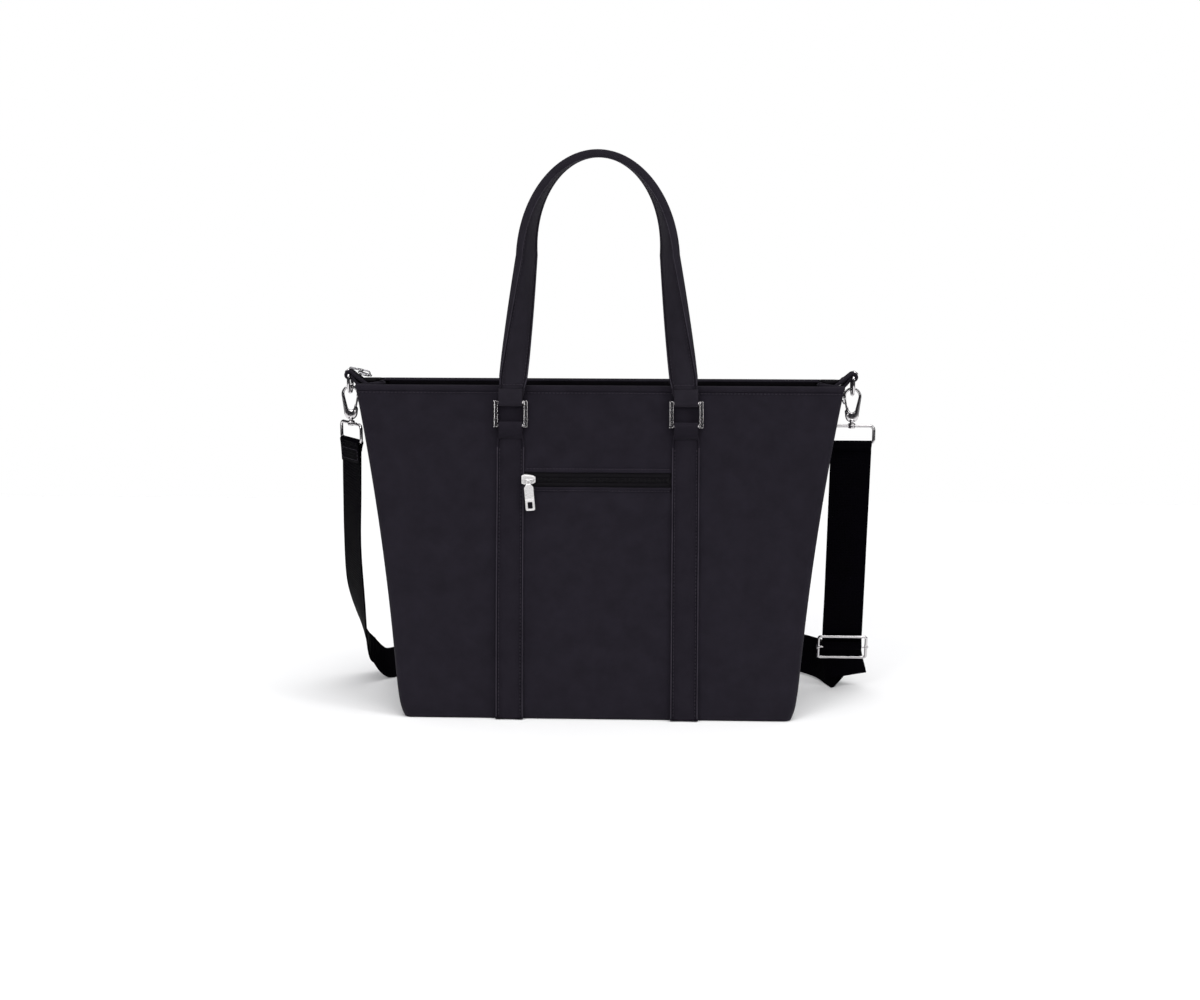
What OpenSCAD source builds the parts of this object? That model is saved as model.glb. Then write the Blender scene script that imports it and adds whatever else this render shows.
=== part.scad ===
// Soft nappy-changing tote: tapered fabric shell, two hinged handles on metal
// rings, zip mouth, zip front pocket and a clip-on adjustable shoulder strap.
// +X is to the right, +Y to the back and +Z up; the origin is the centre of the base.

/* [Bag shell] */
// Width of the shell along its base
base_w = 366; // [340:1:380]
// Width of the front panel along the rim
rim_w = 453; // [440:1:460]
// Width of the back panel along the rim
rim_back_w = 430; // [428:1:434]
// Depth of the shell at its base
base_d = 150; // [140:1:156]
// Depth of the mouth at the rim
rim_d = 64; // [62:1:68]
// Height of the walls above the floor
wall_h = 303.5; // [300:0.5:308]
// Thickness of the padded walls
wall_t = 4; // [3:0.5:4]
// How far each side gusset folds in at the rim
gusset_fold = 10; // [8:1:12]
// Thickness of the base cloth
base_t = 4; // [3:0.5:5]
// Thickness of the stiff board inside the base
board_t = 3; // [2:0.5:4]
// Gap behind the walls that holds the pocket bag
pocket_gap = 1.5; // [1.4:0.1:2]
// Thickness of the lining
lining_t = 1; // [0.8:0.1:1.2]
// Height of the bound edge on top of the walls
binding_h = 3; // [2:0.5:4]

/* [Handles and rings] */
// Distance between the two strap bands of one side
band_pitch = 162; // [162:1:170]
// Width of a strap band
band_w = 26; // [25:0.5:27]
// Thickness of a strap band
band_t = 2; // [1.6:0.1:2.2]
// Width of the band and handle loops that turn round the ring bars
loop_w = 22; // [20:0.5:22.5]
// Clear width inside a ring
ring_in_w = 23; // [23:0.5:24]
// Width of a ring's flat side bars
ring_side_w = 4.5; // [4:0.5:5]
// Distance between a ring's two round bars
ring_pitch = 21; // [20:0.5:22]
// Radius of a ring's round bars
ring_bar_r = 1.5; // [1.4:0.05:1.5]
// Distance up the panel to a ring's lower bar
ring_up = 273; // [268:1:274]
// Width of a handle
handle_w = 26; // [24:0.5:27]
// Thickness of a handle
handle_t = 7; // [4:0.5:7]
// Height of the handle's crown above its ring
handle_rise = 226; // [220:1:236]
// Half width of the handle where its round top begins
handle_half_w = 65; // [60:1:66]
// Height of the handle's round top
handle_top_h = 91; // [86:1:94]

/* [Zips] */
// Length of the front pocket's zip
pocket_zip_l = 135; // [130:1:135]
// Distance up the front panel to the pocket zip's middle
pocket_zip_up = 223; // [210:1:226]
// Length of the top zip's chain
top_zip_l = 406; // [400:1:406]

/* [Side rings and hooks] */
// Distance of the side ring from the bag's middle
side_x = 236; // [236:0.5:238]
// Height of the side ring's straight bar
side_ring_z = 313; // [312:0.5:314]
// Radius of the side ring's wire
wire_r = 1.5; // [1.4:0.05:1.5]
// Radius of the side ring's bow
side_bow_r = 10; // [10:0.5:11]
// Height of a snap hook, from its crown to the swivel
hook_h = 33; // [33:0.5:35]
// Width of a snap hook
hook_w = 17; // [16.5:0.5:17]
// Thickness of a snap hook
hook_t = 3.5; // [3:0.5:3.5]

/* [Shoulder strap] */
// Width of the webbing
web_w = 38; // [36:1:38]
// Thickness of the webbing
web_t = 1.6; // [1.2:0.1:1.6]
// Width of the adjuster
slider_w = 49; // [48:0.5:50]
// Height of the adjuster
slider_h = 25; // [24:0.5:26]

/* [Hidden] */
$fn = 48;

black = [0.13, 0.12, 0.15];
dark = [0.05, 0.04, 0.06];
nickel = [0.78, 0.77, 0.79];
fit = 0.1;
clear = 0.3;

// ---- outline of the shell at height z, moved in by i ----
function front_half(z) = (base_w + (rim_w - base_w) * z / wall_h) / 2;
function back_half(z) = (base_w + (rim_back_w - base_w) * z / wall_h) / 2;
function deep_half(z) = (base_d + (rim_d - base_d) * z / wall_h) / 2;
function fold_half(z) = (front_half(z) + back_half(z)) / 2 - gusset_fold * z / wall_h;
function outline(z, i = 0) = let (f = front_half(z) - i, b = back_half(z) - i,
        m = fold_half(z) - i, d = deep_half(z) - i)
    [[f, -d, z], [m, 0, z], [b, d, z], [-b, d, z], [-m, 0, z], [-f, -d, z]];
lean = atan((base_d - rim_d) / 2 / wall_h);

// ---- closed solid through a list of rings, each anticlockwise seen from its far end ----
module loft(rings, cap) {
    n = len(rings[0]);
    last = (len(rings) - 1) * n;
    points = [for (r = rings, p = r) p];
    // each side face is cut along its shorter diagonal, so that nested walls stay parallel
    sides = [for (j = [0 : len(rings) - 2], i = [0 : n - 1], half = [0, 1])
        let (a = j * n + i, b = j * n + (i + 1) % n,
            rising = norm(points[a] - points[b + n]) < norm(points[b] - points[a + n]))
        rising ? (half == 0 ? [a, a + n, b + n] : [a, b + n, b])
            : (half == 0 ? [a, a + n, b] : [b, a + n, b + n])];
    near = cap;
    far = [for (f = cap) [for (k = [len(f) - 1 : -1 : 0]) f[k] + last]];
    polyhedron(points, concat(sides, near, far));
}
shell_cap = [[5, 0, 1], [5, 1, 4], [4, 1, 2], [4, 2, 3]];
strip_cap = [[0, 1, 2], [0, 2, 3]];
module shell_solid(z0, z1, i) {
    loft([outline(z0, i), outline(z1, i)], shell_cap);
}

// ---- strip of cloth through stations [centre, width direction, width] ----
function unit(v) = v / norm(v);
function strip_ring(s, k, t) = let (last = len(s) - 1,
        ahead = s[min(k + 1, last)][0], behind = s[max(k - 1, 0)][0],
        w = unit(s[k][1]) * s[k][2] / 2,
        n = unit(cross(ahead - behind, s[k][1])) * t / 2, c = s[k][0])
    [c + w + n, c - w + n, c - w - n, c + w - n];
module strip(stations, t) {
    loft([for (k = [0 : len(stations) - 1]) strip_ring(stations, k, t)], strip_cap);
}

// ---- frames ----
// Flat on the front panel: x across, y into the bag and z up the panel
module on_front() {
    translate([0, -base_d / 2, 0]) rotate([-lean, 0, 0]) children();
}
module on_rear() {
    rotate([0, 0, 180]) on_front() children();
}
// Box between two corners
module block(a, b) {
    translate(a) cube(b - a);
}
// Round bar along X, centred
module bar_x(r, l) {
    rotate([0, 90, 0]) cylinder(r = r, h = l, center = true);
}
// Round bar along Y, centred
module bar_y(r, l) {
    rotate([90, 0, 0]) cylinder(r = r, h = l, center = true);
}
module sides(s) {
    if (s > 0) children(); else mirror([1, 0, 0]) children();
}

// ================= shell =================
wall_z0 = base_t;
module front_panel() {
    o = [outline(wall_z0), outline(wall_h)];
    p = [outline(wall_z0, wall_t), outline(wall_h, wall_t)];
    color(black) loft([for (k = [0, 1]) [o[k][5], o[k][0], p[k][0], p[k][5]]], strip_cap);
}
module back_panel() {
    o = [outline(wall_z0), outline(wall_h)];
    p = [outline(wall_z0, wall_t), outline(wall_h, wall_t)];
    color(black) loft([for (k = [0, 1]) [o[k][2], o[k][3], p[k][3], p[k][2]]], strip_cap);
}
module side_gusset() {
    o = [outline(wall_z0), outline(wall_h)];
    p = [outline(wall_z0, wall_t), outline(wall_h, wall_t)];
    color(black) loft([for (k = [0, 1]) [o[k][0], o[k][1], o[k][2], p[k][2], p[k][1], p[k][0]]],
        [[0, 1, 5], [5, 1, 4], [1, 2, 4], [2, 3, 4]]);
}
module side_gusset_right() { side_gusset(); }
module side_gusset_left() { mirror([1, 0, 0]) side_gusset(); }
module base_panel() {
    color(black) shell_solid(0, base_t, 0);
}
board_gap = 2;
board_z1 = base_t + board_t;
module base_board() {
    w = fold_half(0) - wall_t - board_gap;
    d = deep_half(board_z1) - wall_t - board_gap;
    color(dark) block([-w, -d, base_t], [w, d, board_z1]);
}
lining_i = wall_t + pocket_gap;
inner_i = lining_i + lining_t;
inner_z0 = board_z1 + lining_t;
module lining() {
    color(dark) difference() {
        shell_solid(board_z1, wall_h, lining_i);
        shell_solid(inner_z0, wall_h + 1, inner_i);
    }
}
binding_z1 = wall_h + binding_h;
module rim_binding() {
    color(black) difference() {
        shell_solid(wall_h, binding_z1, 0);
        shell_solid(wall_h - 1, binding_z1 + 1, inner_i);
    }
}

// ================= bands and rings =================
loop_r = ring_bar_r + fit + band_t;
ring_out = loop_r + fit;
module band() {
    color(black) difference() {
        union() {
            block([-band_w / 2, -band_t, base_t], [band_w / 2, 0, ring_up - loop_r - 4]);
            block([-loop_w / 2, -band_t, ring_up - loop_r - 6], [loop_w / 2, -0.05, ring_up]);
            translate([0, -ring_out, ring_up]) bar_x(loop_r, loop_w);
        }
        translate([0, -ring_out, ring_up]) bar_x(ring_bar_r + fit / 2, loop_w + 2);
    }
}
module band_front_left() { on_front() translate([-band_pitch / 2, 0, 0]) band(); }
module band_front_right() { on_front() translate([band_pitch / 2, 0, 0]) band(); }
module band_rear_left() { on_rear() translate([band_pitch / 2, 0, 0]) band(); }
module band_rear_right() { on_rear() translate([-band_pitch / 2, 0, 0]) band(); }

// Ring with its lower bar on the X axis and its upper bar ring_pitch above it
ring_side_x = (ring_in_w + ring_side_w) / 2;
module ring() {
    color(nickel) {
        for (z = [0, ring_pitch]) translate([0, 0, z]) bar_x(ring_bar_r, ring_in_w + 2);
        for (s = [-1, 1]) block(
            [s * ring_side_x - ring_side_w / 2, -ring_bar_r, -ring_bar_r],
            [s * ring_side_x + ring_side_w / 2, ring_bar_r, ring_pitch + ring_bar_r]);
    }
}
module at_ring_front(s) {
    on_front() translate([s * band_pitch / 2, -ring_out, ring_up]) children();
}
module ring_front_left() { at_ring_front(-1) ring(); }
module ring_front_right() { at_ring_front(1) ring(); }
// The rear rings hang down, tipped out just enough to clear their bands
rear_tip = 8;
module at_ring_rear(s) {
    on_rear() translate([s * band_pitch / 2, -ring_out, ring_up]) rotate([180 - rear_tip, 0, 0])
        children();
}
module ring_rear_left() { at_ring_rear(1) ring(); }
module ring_rear_right() { at_ring_rear(-1) ring(); }

// ================= handles =================
// Drawn standing up with the ring bars on the X axis
handle_leg_h = handle_rise - handle_top_h;
handle_neck = 13;
function leg_half(z) = band_pitch / 2 + (handle_half_w - band_pitch / 2) * z / handle_leg_h;
// Turn of the strap, from facing forwards where it passes the rim to facing up at the crown
turn_from = 16;
function handle_turn(z) = 90 * pow(max(0, z - turn_from) / (handle_rise - turn_from), 0.72);
function handle_point(s, q) = q <= 1
    ? [s * leg_half(q * handle_leg_h), 0, q * handle_leg_h]
    : [s * handle_half_w * cos((q - 1) * 90), 0, handle_leg_h + handle_top_h * sin((q - 1) * 90)];
function handle_width(z) = z < handle_neck ? loop_w : handle_w;
function handle_station(s, q) = let (c = handle_point(s, q),
        d = unit(handle_point(s, q + 0.01) - handle_point(s, q - 0.01)) * -s,
        across = [d[2], 0, -d[0]], turn = handle_turn(c[2]))
    [c, across * cos(turn) + [0, sin(turn), 0], handle_width(c[2])];
leg_q = [0.01, 0.085, 0.1, 0.25, 0.4, 0.55, 0.7, 0.85, 1];
top_q = [for (a = [1.12 : 0.11 : 1.9]) a];
half_q = concat(leg_q, top_q);
crown = [[0, 0, handle_rise], [0, 1, 0], handle_w];
handle_stations = concat([for (q = half_q) handle_station(-1, q)], [crown],
    [for (k = [len(half_q) - 1 : -1 : 0]) handle_station(1, half_q[k])]);
module handle() {
    color(black) difference() {
        union() {
            strip(handle_stations, handle_t);
            for (s = [-1, 1]) translate([s * band_pitch / 2, 0, 0]) bar_x(loop_r, loop_w);
        }
        for (s = [-1, 1]) translate([s * band_pitch / 2, 0, 0])
            bar_x(ring_bar_r + fit / 2, handle_w + 2);
    }
}
// The front handle stands upright on its rings
module handle_front() {
    at_ring_front(0) translate([0, 0, ring_pitch]) rotate([lean, 0, 0]) handle();
}
// The rear handle hangs down behind the bag, clear of the back panel
rear_handle_tip = 1;
module handle_rear() {
    at_ring_rear(0) translate([0, 0, ring_pitch]) rotate([rear_handle_tip, 0, 0]) handle();
}

// ================= front pocket =================
tape_t = 0.8;
teeth_t = 1.2;
zip_half = pocket_zip_l / 2;
module pocket_zip_tape() {
    color(dark) on_front() block([-zip_half, -tape_t, pocket_zip_up - 7],
        [zip_half, 0, pocket_zip_up + 7]);
}
module pocket_zip_teeth() {
    color(dark) on_front() block([-zip_half, -tape_t - teeth_t, pocket_zip_up - 2.5],
        [zip_half, -tape_t, pocket_zip_up + 2.5]);
}
module pocket_zip_welts() {
    color(black) on_front() for (s = [-1, 1]) translate([0, 0, pocket_zip_up + s * 9])
        block([-zip_half, -1.8, -1.8], [zip_half, 0, 1.8]);
}
module pocket_bag() {
    color(dark) on_front() block([-zip_half, wall_t, pocket_zip_up - 150],
        [zip_half, wall_t + pocket_gap - clear, pocket_zip_up + 12]);
}
pocket_slider_x = -64;
zip_face = tape_t + teeth_t + clear;
bridge_y = zip_face + 3.2;
module pocket_zip_slider() {
    color(nickel) on_front() translate([pocket_slider_x, 0, pocket_zip_up]) {
        block([-6.5, -zip_face - 1.6, -4.2], [6.5, -zip_face, 4.2]);
        block([-1.4, -bridge_y - 0.6, -3.6], [1.4, -zip_face, -1.2]);
    }
}
pull_w = 9;
pocket_pull_l = 26;
top_pull_l = 15;
module pull_plate(pull_l) {
    difference() {
        hull() {
            translate([0, 0, -2]) bar_y(2.6, 1.2);
            translate([0, 0, 4 - pull_l]) bar_y(pull_w / 2 - 0.6, 1.2);
        }
        bar_y(1.8, 3);
        translate([0, 0, 6 - pull_l]) cube([4, 4, 6], center = true);
    }
}
module pocket_zip_pull() {
    color(nickel) on_front()
        translate([pocket_slider_x, -bridge_y - 1.5, pocket_zip_up - 3.2]) pull_plate(pocket_pull_l);
}

// ================= pockets inside =================
slip_w = 210;
module inner_slip_pocket() {
    color(dark) on_rear() block([-slip_w / 2, inner_i + 0.1, 70], [slip_w / 2, inner_i + 1.5, 205]);
}
bottle_w = 80;
module inner_bottle_pocket() {
    tilt = atan((fold_half(wall_h) - fold_half(0)) / wall_h);
    color(dark) translate([fold_half(0) - inner_i - 0.2, 0, 0]) rotate([0, tilt, 0])
        block([-1.4, -bottle_w / 2, 30], [0, bottle_w / 2, 165]);
}
module inner_bottle_pocket_right() { inner_bottle_pocket(); }
module inner_bottle_pocket_left() { mirror([1, 0, 0]) inner_bottle_pocket(); }

tab_w = 16;
tab_r = 4.5;

// ================= top zip =================
flap_y = deep_half(wall_h) - inner_i - 1;
flap_z = wall_h + 1;
// When the zip is shut the flaps slope up to it
flap_rise = 12;
flap_l = flap_y - clear / 2;
chain_z = flap_z + flap_l * sin(flap_rise);
zip_l2 = top_zip_l / 2;
cloth_l = flap_l - 9;
// Flap drawn hanging from a hinge line on the X axis
module at_flap(s) {
    translate([0, s * flap_y, flap_z]) children();
}
module flap_cloth() { color(dark) block([-zip_l2, -0.7, -cloth_l], [zip_l2, 0.7, -0.6]); }
module flap_tape() { color(dark) block([-zip_l2, -0.5, -flap_l + 2], [zip_l2, 0.5, -cloth_l]); }
module flap_teeth() { color(nickel) block([-zip_l2, -1, -flap_l], [zip_l2, 1, -flap_l + 2]); }
module zip_panel_front() { at_flap(-1) flap_cloth(); }
module zip_panel_rear() { at_flap(1) flap_cloth(); }
module top_zip_tape_front() { at_flap(-1) flap_tape(); }
module top_zip_tape_rear() { at_flap(1) flap_tape(); }
module top_zip_teeth_front() { at_flap(-1) flap_teeth(); }
module top_zip_teeth_rear() { at_flap(1) flap_teeth(); }

top_slider_x = -222;
plate_gap = 1.6;
// Upper plate and bridge; the flaps are rigid and come up from below, so there is no lower plate
module top_zip_slider() {
    color(nickel) translate([top_slider_x, 0, chain_z]) {
        block([-6, -4.5, plate_gap], [6, 4.5, plate_gap + 1.5]);
        block([-2, -1.2, plate_gap + 1.5], [2, 1.2, plate_gap + 4]);
    }
}
// The pull lies back over the end of the zip, its tip raised
top_pull_tip = 100;
module top_zip_pull() {
    color(nickel) translate([top_slider_x, 0, chain_z + plate_gap + 5.6])
        rotate([0, top_pull_tip, 0]) rotate([0, 0, 90]) pull_plate(top_pull_l);
}
tail_z = [chain_z - 1, chain_z + 1];
tail_x = [zip_l2 + 1, side_x - 11.3];
module zip_tail_left() {
    color(dark) block([-tail_x[1], -4, tail_z[0]], [-tail_x[0], 4, tail_z[1]]);
}
module zip_tail_right() {
    color(dark) block([tail_x[0], -4, tail_z[0]], [tail_x[1], 4, tail_z[1]]);
}

// ================= side tabs and rings =================
tab_slope = 33;
tab_root_x = fold_half(wall_h) + 5;
tab_arm_l = (side_x - tab_root_x) / cos(tab_slope) - 1.5;
module side_tab() {
    color(black) difference() {
        union() {
            translate([side_x, 0, side_ring_z]) bar_y(tab_r, tab_w);
            translate([side_x, 0, side_ring_z]) rotate([0, -tab_slope, 0])
                block([-tab_arm_l, 0.4 - tab_w / 2, -2.2], [-2.6, tab_w / 2 - 0.4, 2.2]);
        }
        translate([side_x, 0, side_ring_z]) bar_y(wire_r + fit / 2, tab_w + 2);
    }
}
module side_tab_right() { side_tab(); }
module side_tab_left() { mirror([1, 0, 0]) side_tab(); }
module tab_rivets() {
    color(nickel) for (s = [-1, 1]) sides(s) translate([side_x, 0, side_ring_z]) rotate([0, -57, 0])
        translate([tab_r, 0, 0]) rotate([0, 90, 0]) cylinder(r1 = 3, r2 = 2, h = 1.2);
}
bow_drop = 17;
module d_ring() {
    straight = bow_drop - side_bow_r;
    color(nickel) translate([side_x, 0, side_ring_z]) {
        bar_y(wire_r, 2 * side_bow_r);
        for (s = [-1, 1]) translate([0, s * side_bow_r, 0]) {
            sphere(wire_r);
            translate([0, 0, -straight]) cylinder(r = wire_r, h = straight);
        }
        translate([0, 0, -straight]) rotate([0, 0, 90]) rotate([-90, 0, 0])
            rotate_extrude(angle = 180) translate([side_bow_r, 0]) circle(wire_r);
    }
}
module d_ring_right() { d_ring(); }
module d_ring_left() { mirror([1, 0, 0]) d_ring(); }

// ================= snap hooks =================
bow_z = side_ring_z - bow_drop;
hook_wall = 2.6;
// Free height between the ring's bow and the hook's crown
hook_play = 2.8;
crown_z = bow_z + wire_r + hook_play + hook_wall;
swing_z = crown_z - hook_wall / 2;
hook_z0 = crown_z - hook_h;
hook_mid = crown_z - hook_w / 2;
hook_solid = 9;
post_l = 6;
gate_in = hook_w / 2 - hook_wall;
// Hook in the XZ plane; its gate is on the side towards the bag
module hook_profile() {
    difference() {
        hull() {
            translate([0, hook_mid]) circle(d = hook_w);
            translate([0, hook_z0 + 5]) circle(r = 5);
        }
        hull() {
            translate([0, hook_mid]) circle(d = hook_w - 2 * hook_wall);
            translate([0, hook_z0 + hook_solid + 3.2]) circle(r = 3.2);
        }
        translate([-hook_w, hook_z0 + hook_solid + 2])
            square([hook_w - 2.2, hook_mid - hook_z0 - hook_solid - 2.8]);
    }
}
module hook_body() {
    color(nickel) translate([side_x, 0, 0]) {
        difference() {
            rotate([90, 0, 0]) linear_extrude(hook_t, center = true) hook_profile();
            translate([-5.2, 0, hook_z0 + hook_solid - 1]) bar_y(0.85, hook_t + 2);
            translate([-8.5, -1.25, hook_z0 + hook_solid - 3]) cube([5.6, 2.5, 8]);
        }
        translate([0, 0, hook_z0 - post_l + 0.5]) cylinder(r = 1.8, h = post_l);
    }
}
module hook_body_right() { hook_body(); }
module hook_body_left() { mirror([1, 0, 0]) hook_body(); }
gate_pivot = [side_x - 5.2, 0, hook_z0 + hook_solid - 1];
gate_l = hook_mid - gate_pivot[2] - 2;
module hook_gate() {
    color(nickel) translate(gate_pivot) {
        bar_y(0.8, hook_t + 0.4);
        rotate([0, -5.5, 0]) block([-0.9, -1, 0], [0.7, 1, gate_l]);
    }
}
module hook_gate_right() { hook_gate(); }
module hook_gate_left() { mirror([1, 0, 0]) hook_gate(); }

// Swivel eye: collar round the hook's post, and a loop that the webbing turns round
eye_in = web_w + 0.6;
eye_r = 1.5;
eye_top = hook_z0 - 3.2;
eye_pitch = 17;
eye_low = eye_top - eye_pitch;
module hook_eye() {
    color(nickel) difference() {
        union() {
            for (z = [eye_top, eye_low]) translate([0, 0, z]) bar_x(eye_r, eye_in + 2 * eye_r);
            for (s = [-1, 1]) translate([s * (eye_in / 2 + eye_r), 0, eye_low]) {
                cylinder(r = eye_r, h = eye_pitch);
                for (z = [0, eye_pitch]) translate([0, 0, z]) sphere(eye_r);
            }
            translate([0, 0, eye_top - 2.4]) cylinder(r = 3.2, h = 4.6);
        }
        translate([0, 0, eye_top - 3]) cylinder(r = 1.85, h = 8);
    }
}
left_eye_turn = -54;
module hook_eye_right() { translate([side_x, 0, 0]) hook_eye(); }
module hook_eye_left() { translate([-side_x, 0, 0]) rotate([0, 0, left_eye_turn]) hook_eye(); }

// ================= shoulder strap =================
web_loop_r = eye_r + fit + web_t;
// Webbing loop round an eye's lower bar, along X
module web_loop() {
    difference() {
        bar_x(web_loop_r, web_w);
        bar_x(eye_r + fit, web_w + 2);
    }
}
function down_left(a) = [cos(a), sin(a), 0];
left_run = [
    [[-236, 1, eye_low - 3], down_left(-54), web_w],
    [[-238, 8, 200], down_left(-55), web_w],
    [[-240.5, 18, 150], down_left(-57), web_w],
    [[-241, 32, 100], [0.55, -0.82, -0.12], web_w],
    [[-239, 50, 62], [0.36, -0.91, -0.2], web_w],
    [[-233, 61, 34], [0.14, -0.9, -0.4], web_w]];
floor_run = [
    [[-232.5, 61.8, 33], [0.14, -0.9, -0.4], web_w],
    [[-217, 77, 12], [0.05, -0.85, -0.48], web_w],
    [[-188, 106, 12.5], [0, -0.82, -0.54], web_w],
    [[-140, 140, 15], [0, -0.75, -0.66], web_w],
    [[-75, 162, 16], [0, -0.7, -0.71], web_w],
    [[0, 170, 17], [0, -0.6, -0.8], web_w],
    [[75, 166, 18], [0, -0.5, -0.86], web_w],
    [[140, 148, 19], [-0.1, -0.4, -0.91], web_w],
    [[185, 120, 19.5], [-0.2, -0.3, -0.93], web_w],
    [[212, 92, 19.5], [-0.25, -0.15, -0.95], web_w],
    [[225, 70, 18.5], [-0.35, -0.05, -0.93], web_w],
    [[240, 52.5, 12.5], [-0.85, 0, -0.53], 43]];
run_top = [side_x, 0, eye_low];
run_low = [235.5, 46, 42];
run_dir = unit(run_low - run_top);
run_n = unit(cross([1, 0, 0], run_dir));
layer = web_t / 2 + 0.15;
back_layer = -run_n * layer * sign(run_n[1]) * -1;
function run_at(l, off) = run_top + run_dir * l + off;
run_l = norm(run_low - run_top);
module strap_left() {
    color(dark) {
        strip(left_run, web_t);
        translate([-side_x, 0, eye_low]) rotate([0, 0, left_eye_turn]) web_loop();
    }
}
module strap_floor() { color(dark) strip(floor_run, web_t); }
module strap_right() {
    color(dark) {
        strip([[run_at(2.6, back_layer), [1, 0, 0], web_w],
            [run_at(run_l, back_layer), [1, 0, 0], web_w],
            [[240, 50.5, 11.5], [0.868, 0, 0.496], 42]], web_t);
        translate(run_top) web_loop();
    }
}
slider_at = run_l - 2;
tail_gap = 3.9;
module strap_tail() {
    color(dark) strip([[run_at(tail_gap, -back_layer), [1, 0, 0], web_w],
        [run_at(slider_at - 3.6, -back_layer), [1, 0, 0], web_w]], web_t);
}
// Adjuster frame: x across, z up the webbing, y away from it
module at_slider() {
    translate(run_at(slider_at, [0, 0, 0])) rotate([-atan2(-run_dir[1], -run_dir[2]), 0, 0])
        children();
}
bar_r = 1.4;
slider_y = -(2 * layer + bar_r + web_t + 0.2) + 0.4;
module strap_slider_frame() {
    w = slider_w / 2 - bar_r;
    h = slider_h / 2 - bar_r;
    color(nickel) at_slider() translate([0, slider_y, 0]) {
        for (s = [-1, 1]) {
            translate([0, 0, s * h]) bar_x(bar_r, 2 * w);
            difference() {
                translate([s * w, 0, -h]) cylinder(r = bar_r, h = 2 * h);
                bar_x(1, slider_w + 4);
            }
            for (t = [-1, 1]) translate([s * w, 0, t * h]) sphere(bar_r);
        }
    }
}
module strap_slider_bar() {
    color(nickel) at_slider() translate([0, slider_y, 0]) bar_x(0.95, slider_w + 2);
}
module strap_end_loop() {
    color(dark) at_slider() translate([0, slider_y, 0]) difference() {
        bar_x(0.95 + fit + web_t, web_w);
        bar_x(0.95 + fit, web_w + 2);
    }
}

front_panel();
back_panel();
side_gusset_left();
side_gusset_right();
base_panel();
base_board();
lining();
rim_binding();
band_front_left();
band_front_right();
band_rear_left();
band_rear_right();
pocket_zip_tape();
pocket_zip_teeth();
pocket_zip_welts();
pocket_bag();
pocket_zip_slider();
pocket_zip_pull();
inner_slip_pocket();
inner_bottle_pocket_left();
inner_bottle_pocket_right();
side_tab_left();
side_tab_right();
tab_rivets();
zip_tail_left();
zip_tail_right();
zip_panel_front();
zip_panel_rear();
top_zip_tape_front();
top_zip_tape_rear();
top_zip_teeth_front();
top_zip_teeth_rear();
top_zip_slider();
top_zip_pull();
ring_front_left();
ring_front_right();
handle_front();
ring_rear_left();
ring_rear_right();
handle_rear();
d_ring_left();
d_ring_right();
hook_body_left();
hook_body_right();
hook_gate_left();
hook_gate_right();
hook_eye_left();
hook_eye_right();
strap_left();
strap_floor();
strap_right();
strap_tail();
strap_end_loop();
strap_slider_frame();
strap_slider_bar();
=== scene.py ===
"""Looks of the diaper bag: cloth, hardware, stitching, camera and light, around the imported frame."""
import math

import bpy
import numpy as np
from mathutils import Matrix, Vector, noise


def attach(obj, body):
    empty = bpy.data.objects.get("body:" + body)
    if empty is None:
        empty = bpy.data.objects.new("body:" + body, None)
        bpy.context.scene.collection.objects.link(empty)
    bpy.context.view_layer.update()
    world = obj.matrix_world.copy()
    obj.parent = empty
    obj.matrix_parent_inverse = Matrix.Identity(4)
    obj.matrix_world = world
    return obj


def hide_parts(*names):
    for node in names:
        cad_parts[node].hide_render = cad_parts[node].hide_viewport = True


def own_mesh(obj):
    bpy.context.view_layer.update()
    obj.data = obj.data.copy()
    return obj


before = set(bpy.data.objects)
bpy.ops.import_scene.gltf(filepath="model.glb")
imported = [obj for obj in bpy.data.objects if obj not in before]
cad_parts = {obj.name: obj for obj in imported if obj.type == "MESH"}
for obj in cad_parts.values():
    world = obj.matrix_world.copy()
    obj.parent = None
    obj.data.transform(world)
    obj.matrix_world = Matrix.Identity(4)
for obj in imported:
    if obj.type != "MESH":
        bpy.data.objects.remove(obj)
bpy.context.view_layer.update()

MM = 0.001

# ---- shape of the bag, millimetres (the same driving sizes as the CAD) ----
BASE_D, RIM_D, WALL_H, RIM_Z = 150.0, 64.0, 303.5, 306.5
LEAN = math.atan((BASE_D - RIM_D) / 2 / WALL_H)
BAND_PITCH, BAND_W, LOOP_W = 162.0, 26.0, 22.0
RING_UP, RING_PITCH, RING_BAR_R, RING_OUT = 273.0, 21.0, 1.5, 3.7
RING_IN_W, RING_SIDE_W = 23.0, 4.5
HANDLE_W, HANDLE_T, HANDLE_RISE = 26.0, 7.0, 226.0
HANDLE_HALF, HANDLE_TOP, TURN_FROM = 65.0, 91.0, 16.0
REAR_TIP, REAR_HANDLE_TIP = 8.0, 1.0
ZIP_L, ZIP_UP, POCKET_SLIDER_X = 135.0, 223.0, -64.0
SIDE_X, SIDE_RING_Z, BOW_DROP = 236.0, 313.0, 17.0
WEB_W, WEB_T = 38.0, 1.6
FLAP_Y, FLAP_Z, TOP_ZIP_L = 24.5, 304.5, 406.0


# =====================================================================
# Camera, floor and light
# =====================================================================
def make_camera():
    distance, height, swing = 1.750, 0.502, math.radians(2.5)
    data = bpy.data.cameras.new("camera")
    data.sensor_width = 36
    data.lens = 56.16
    camera = bpy.data.objects.new("camera", data)
    bpy.context.scene.collection.objects.link(camera)
    camera.location = (distance * math.sin(swing), -distance * math.cos(swing), height)
    camera.rotation_euler = (math.radians(90 - 9.97), 0, swing)
    bpy.context.scene.camera = camera


make_camera()


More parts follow.
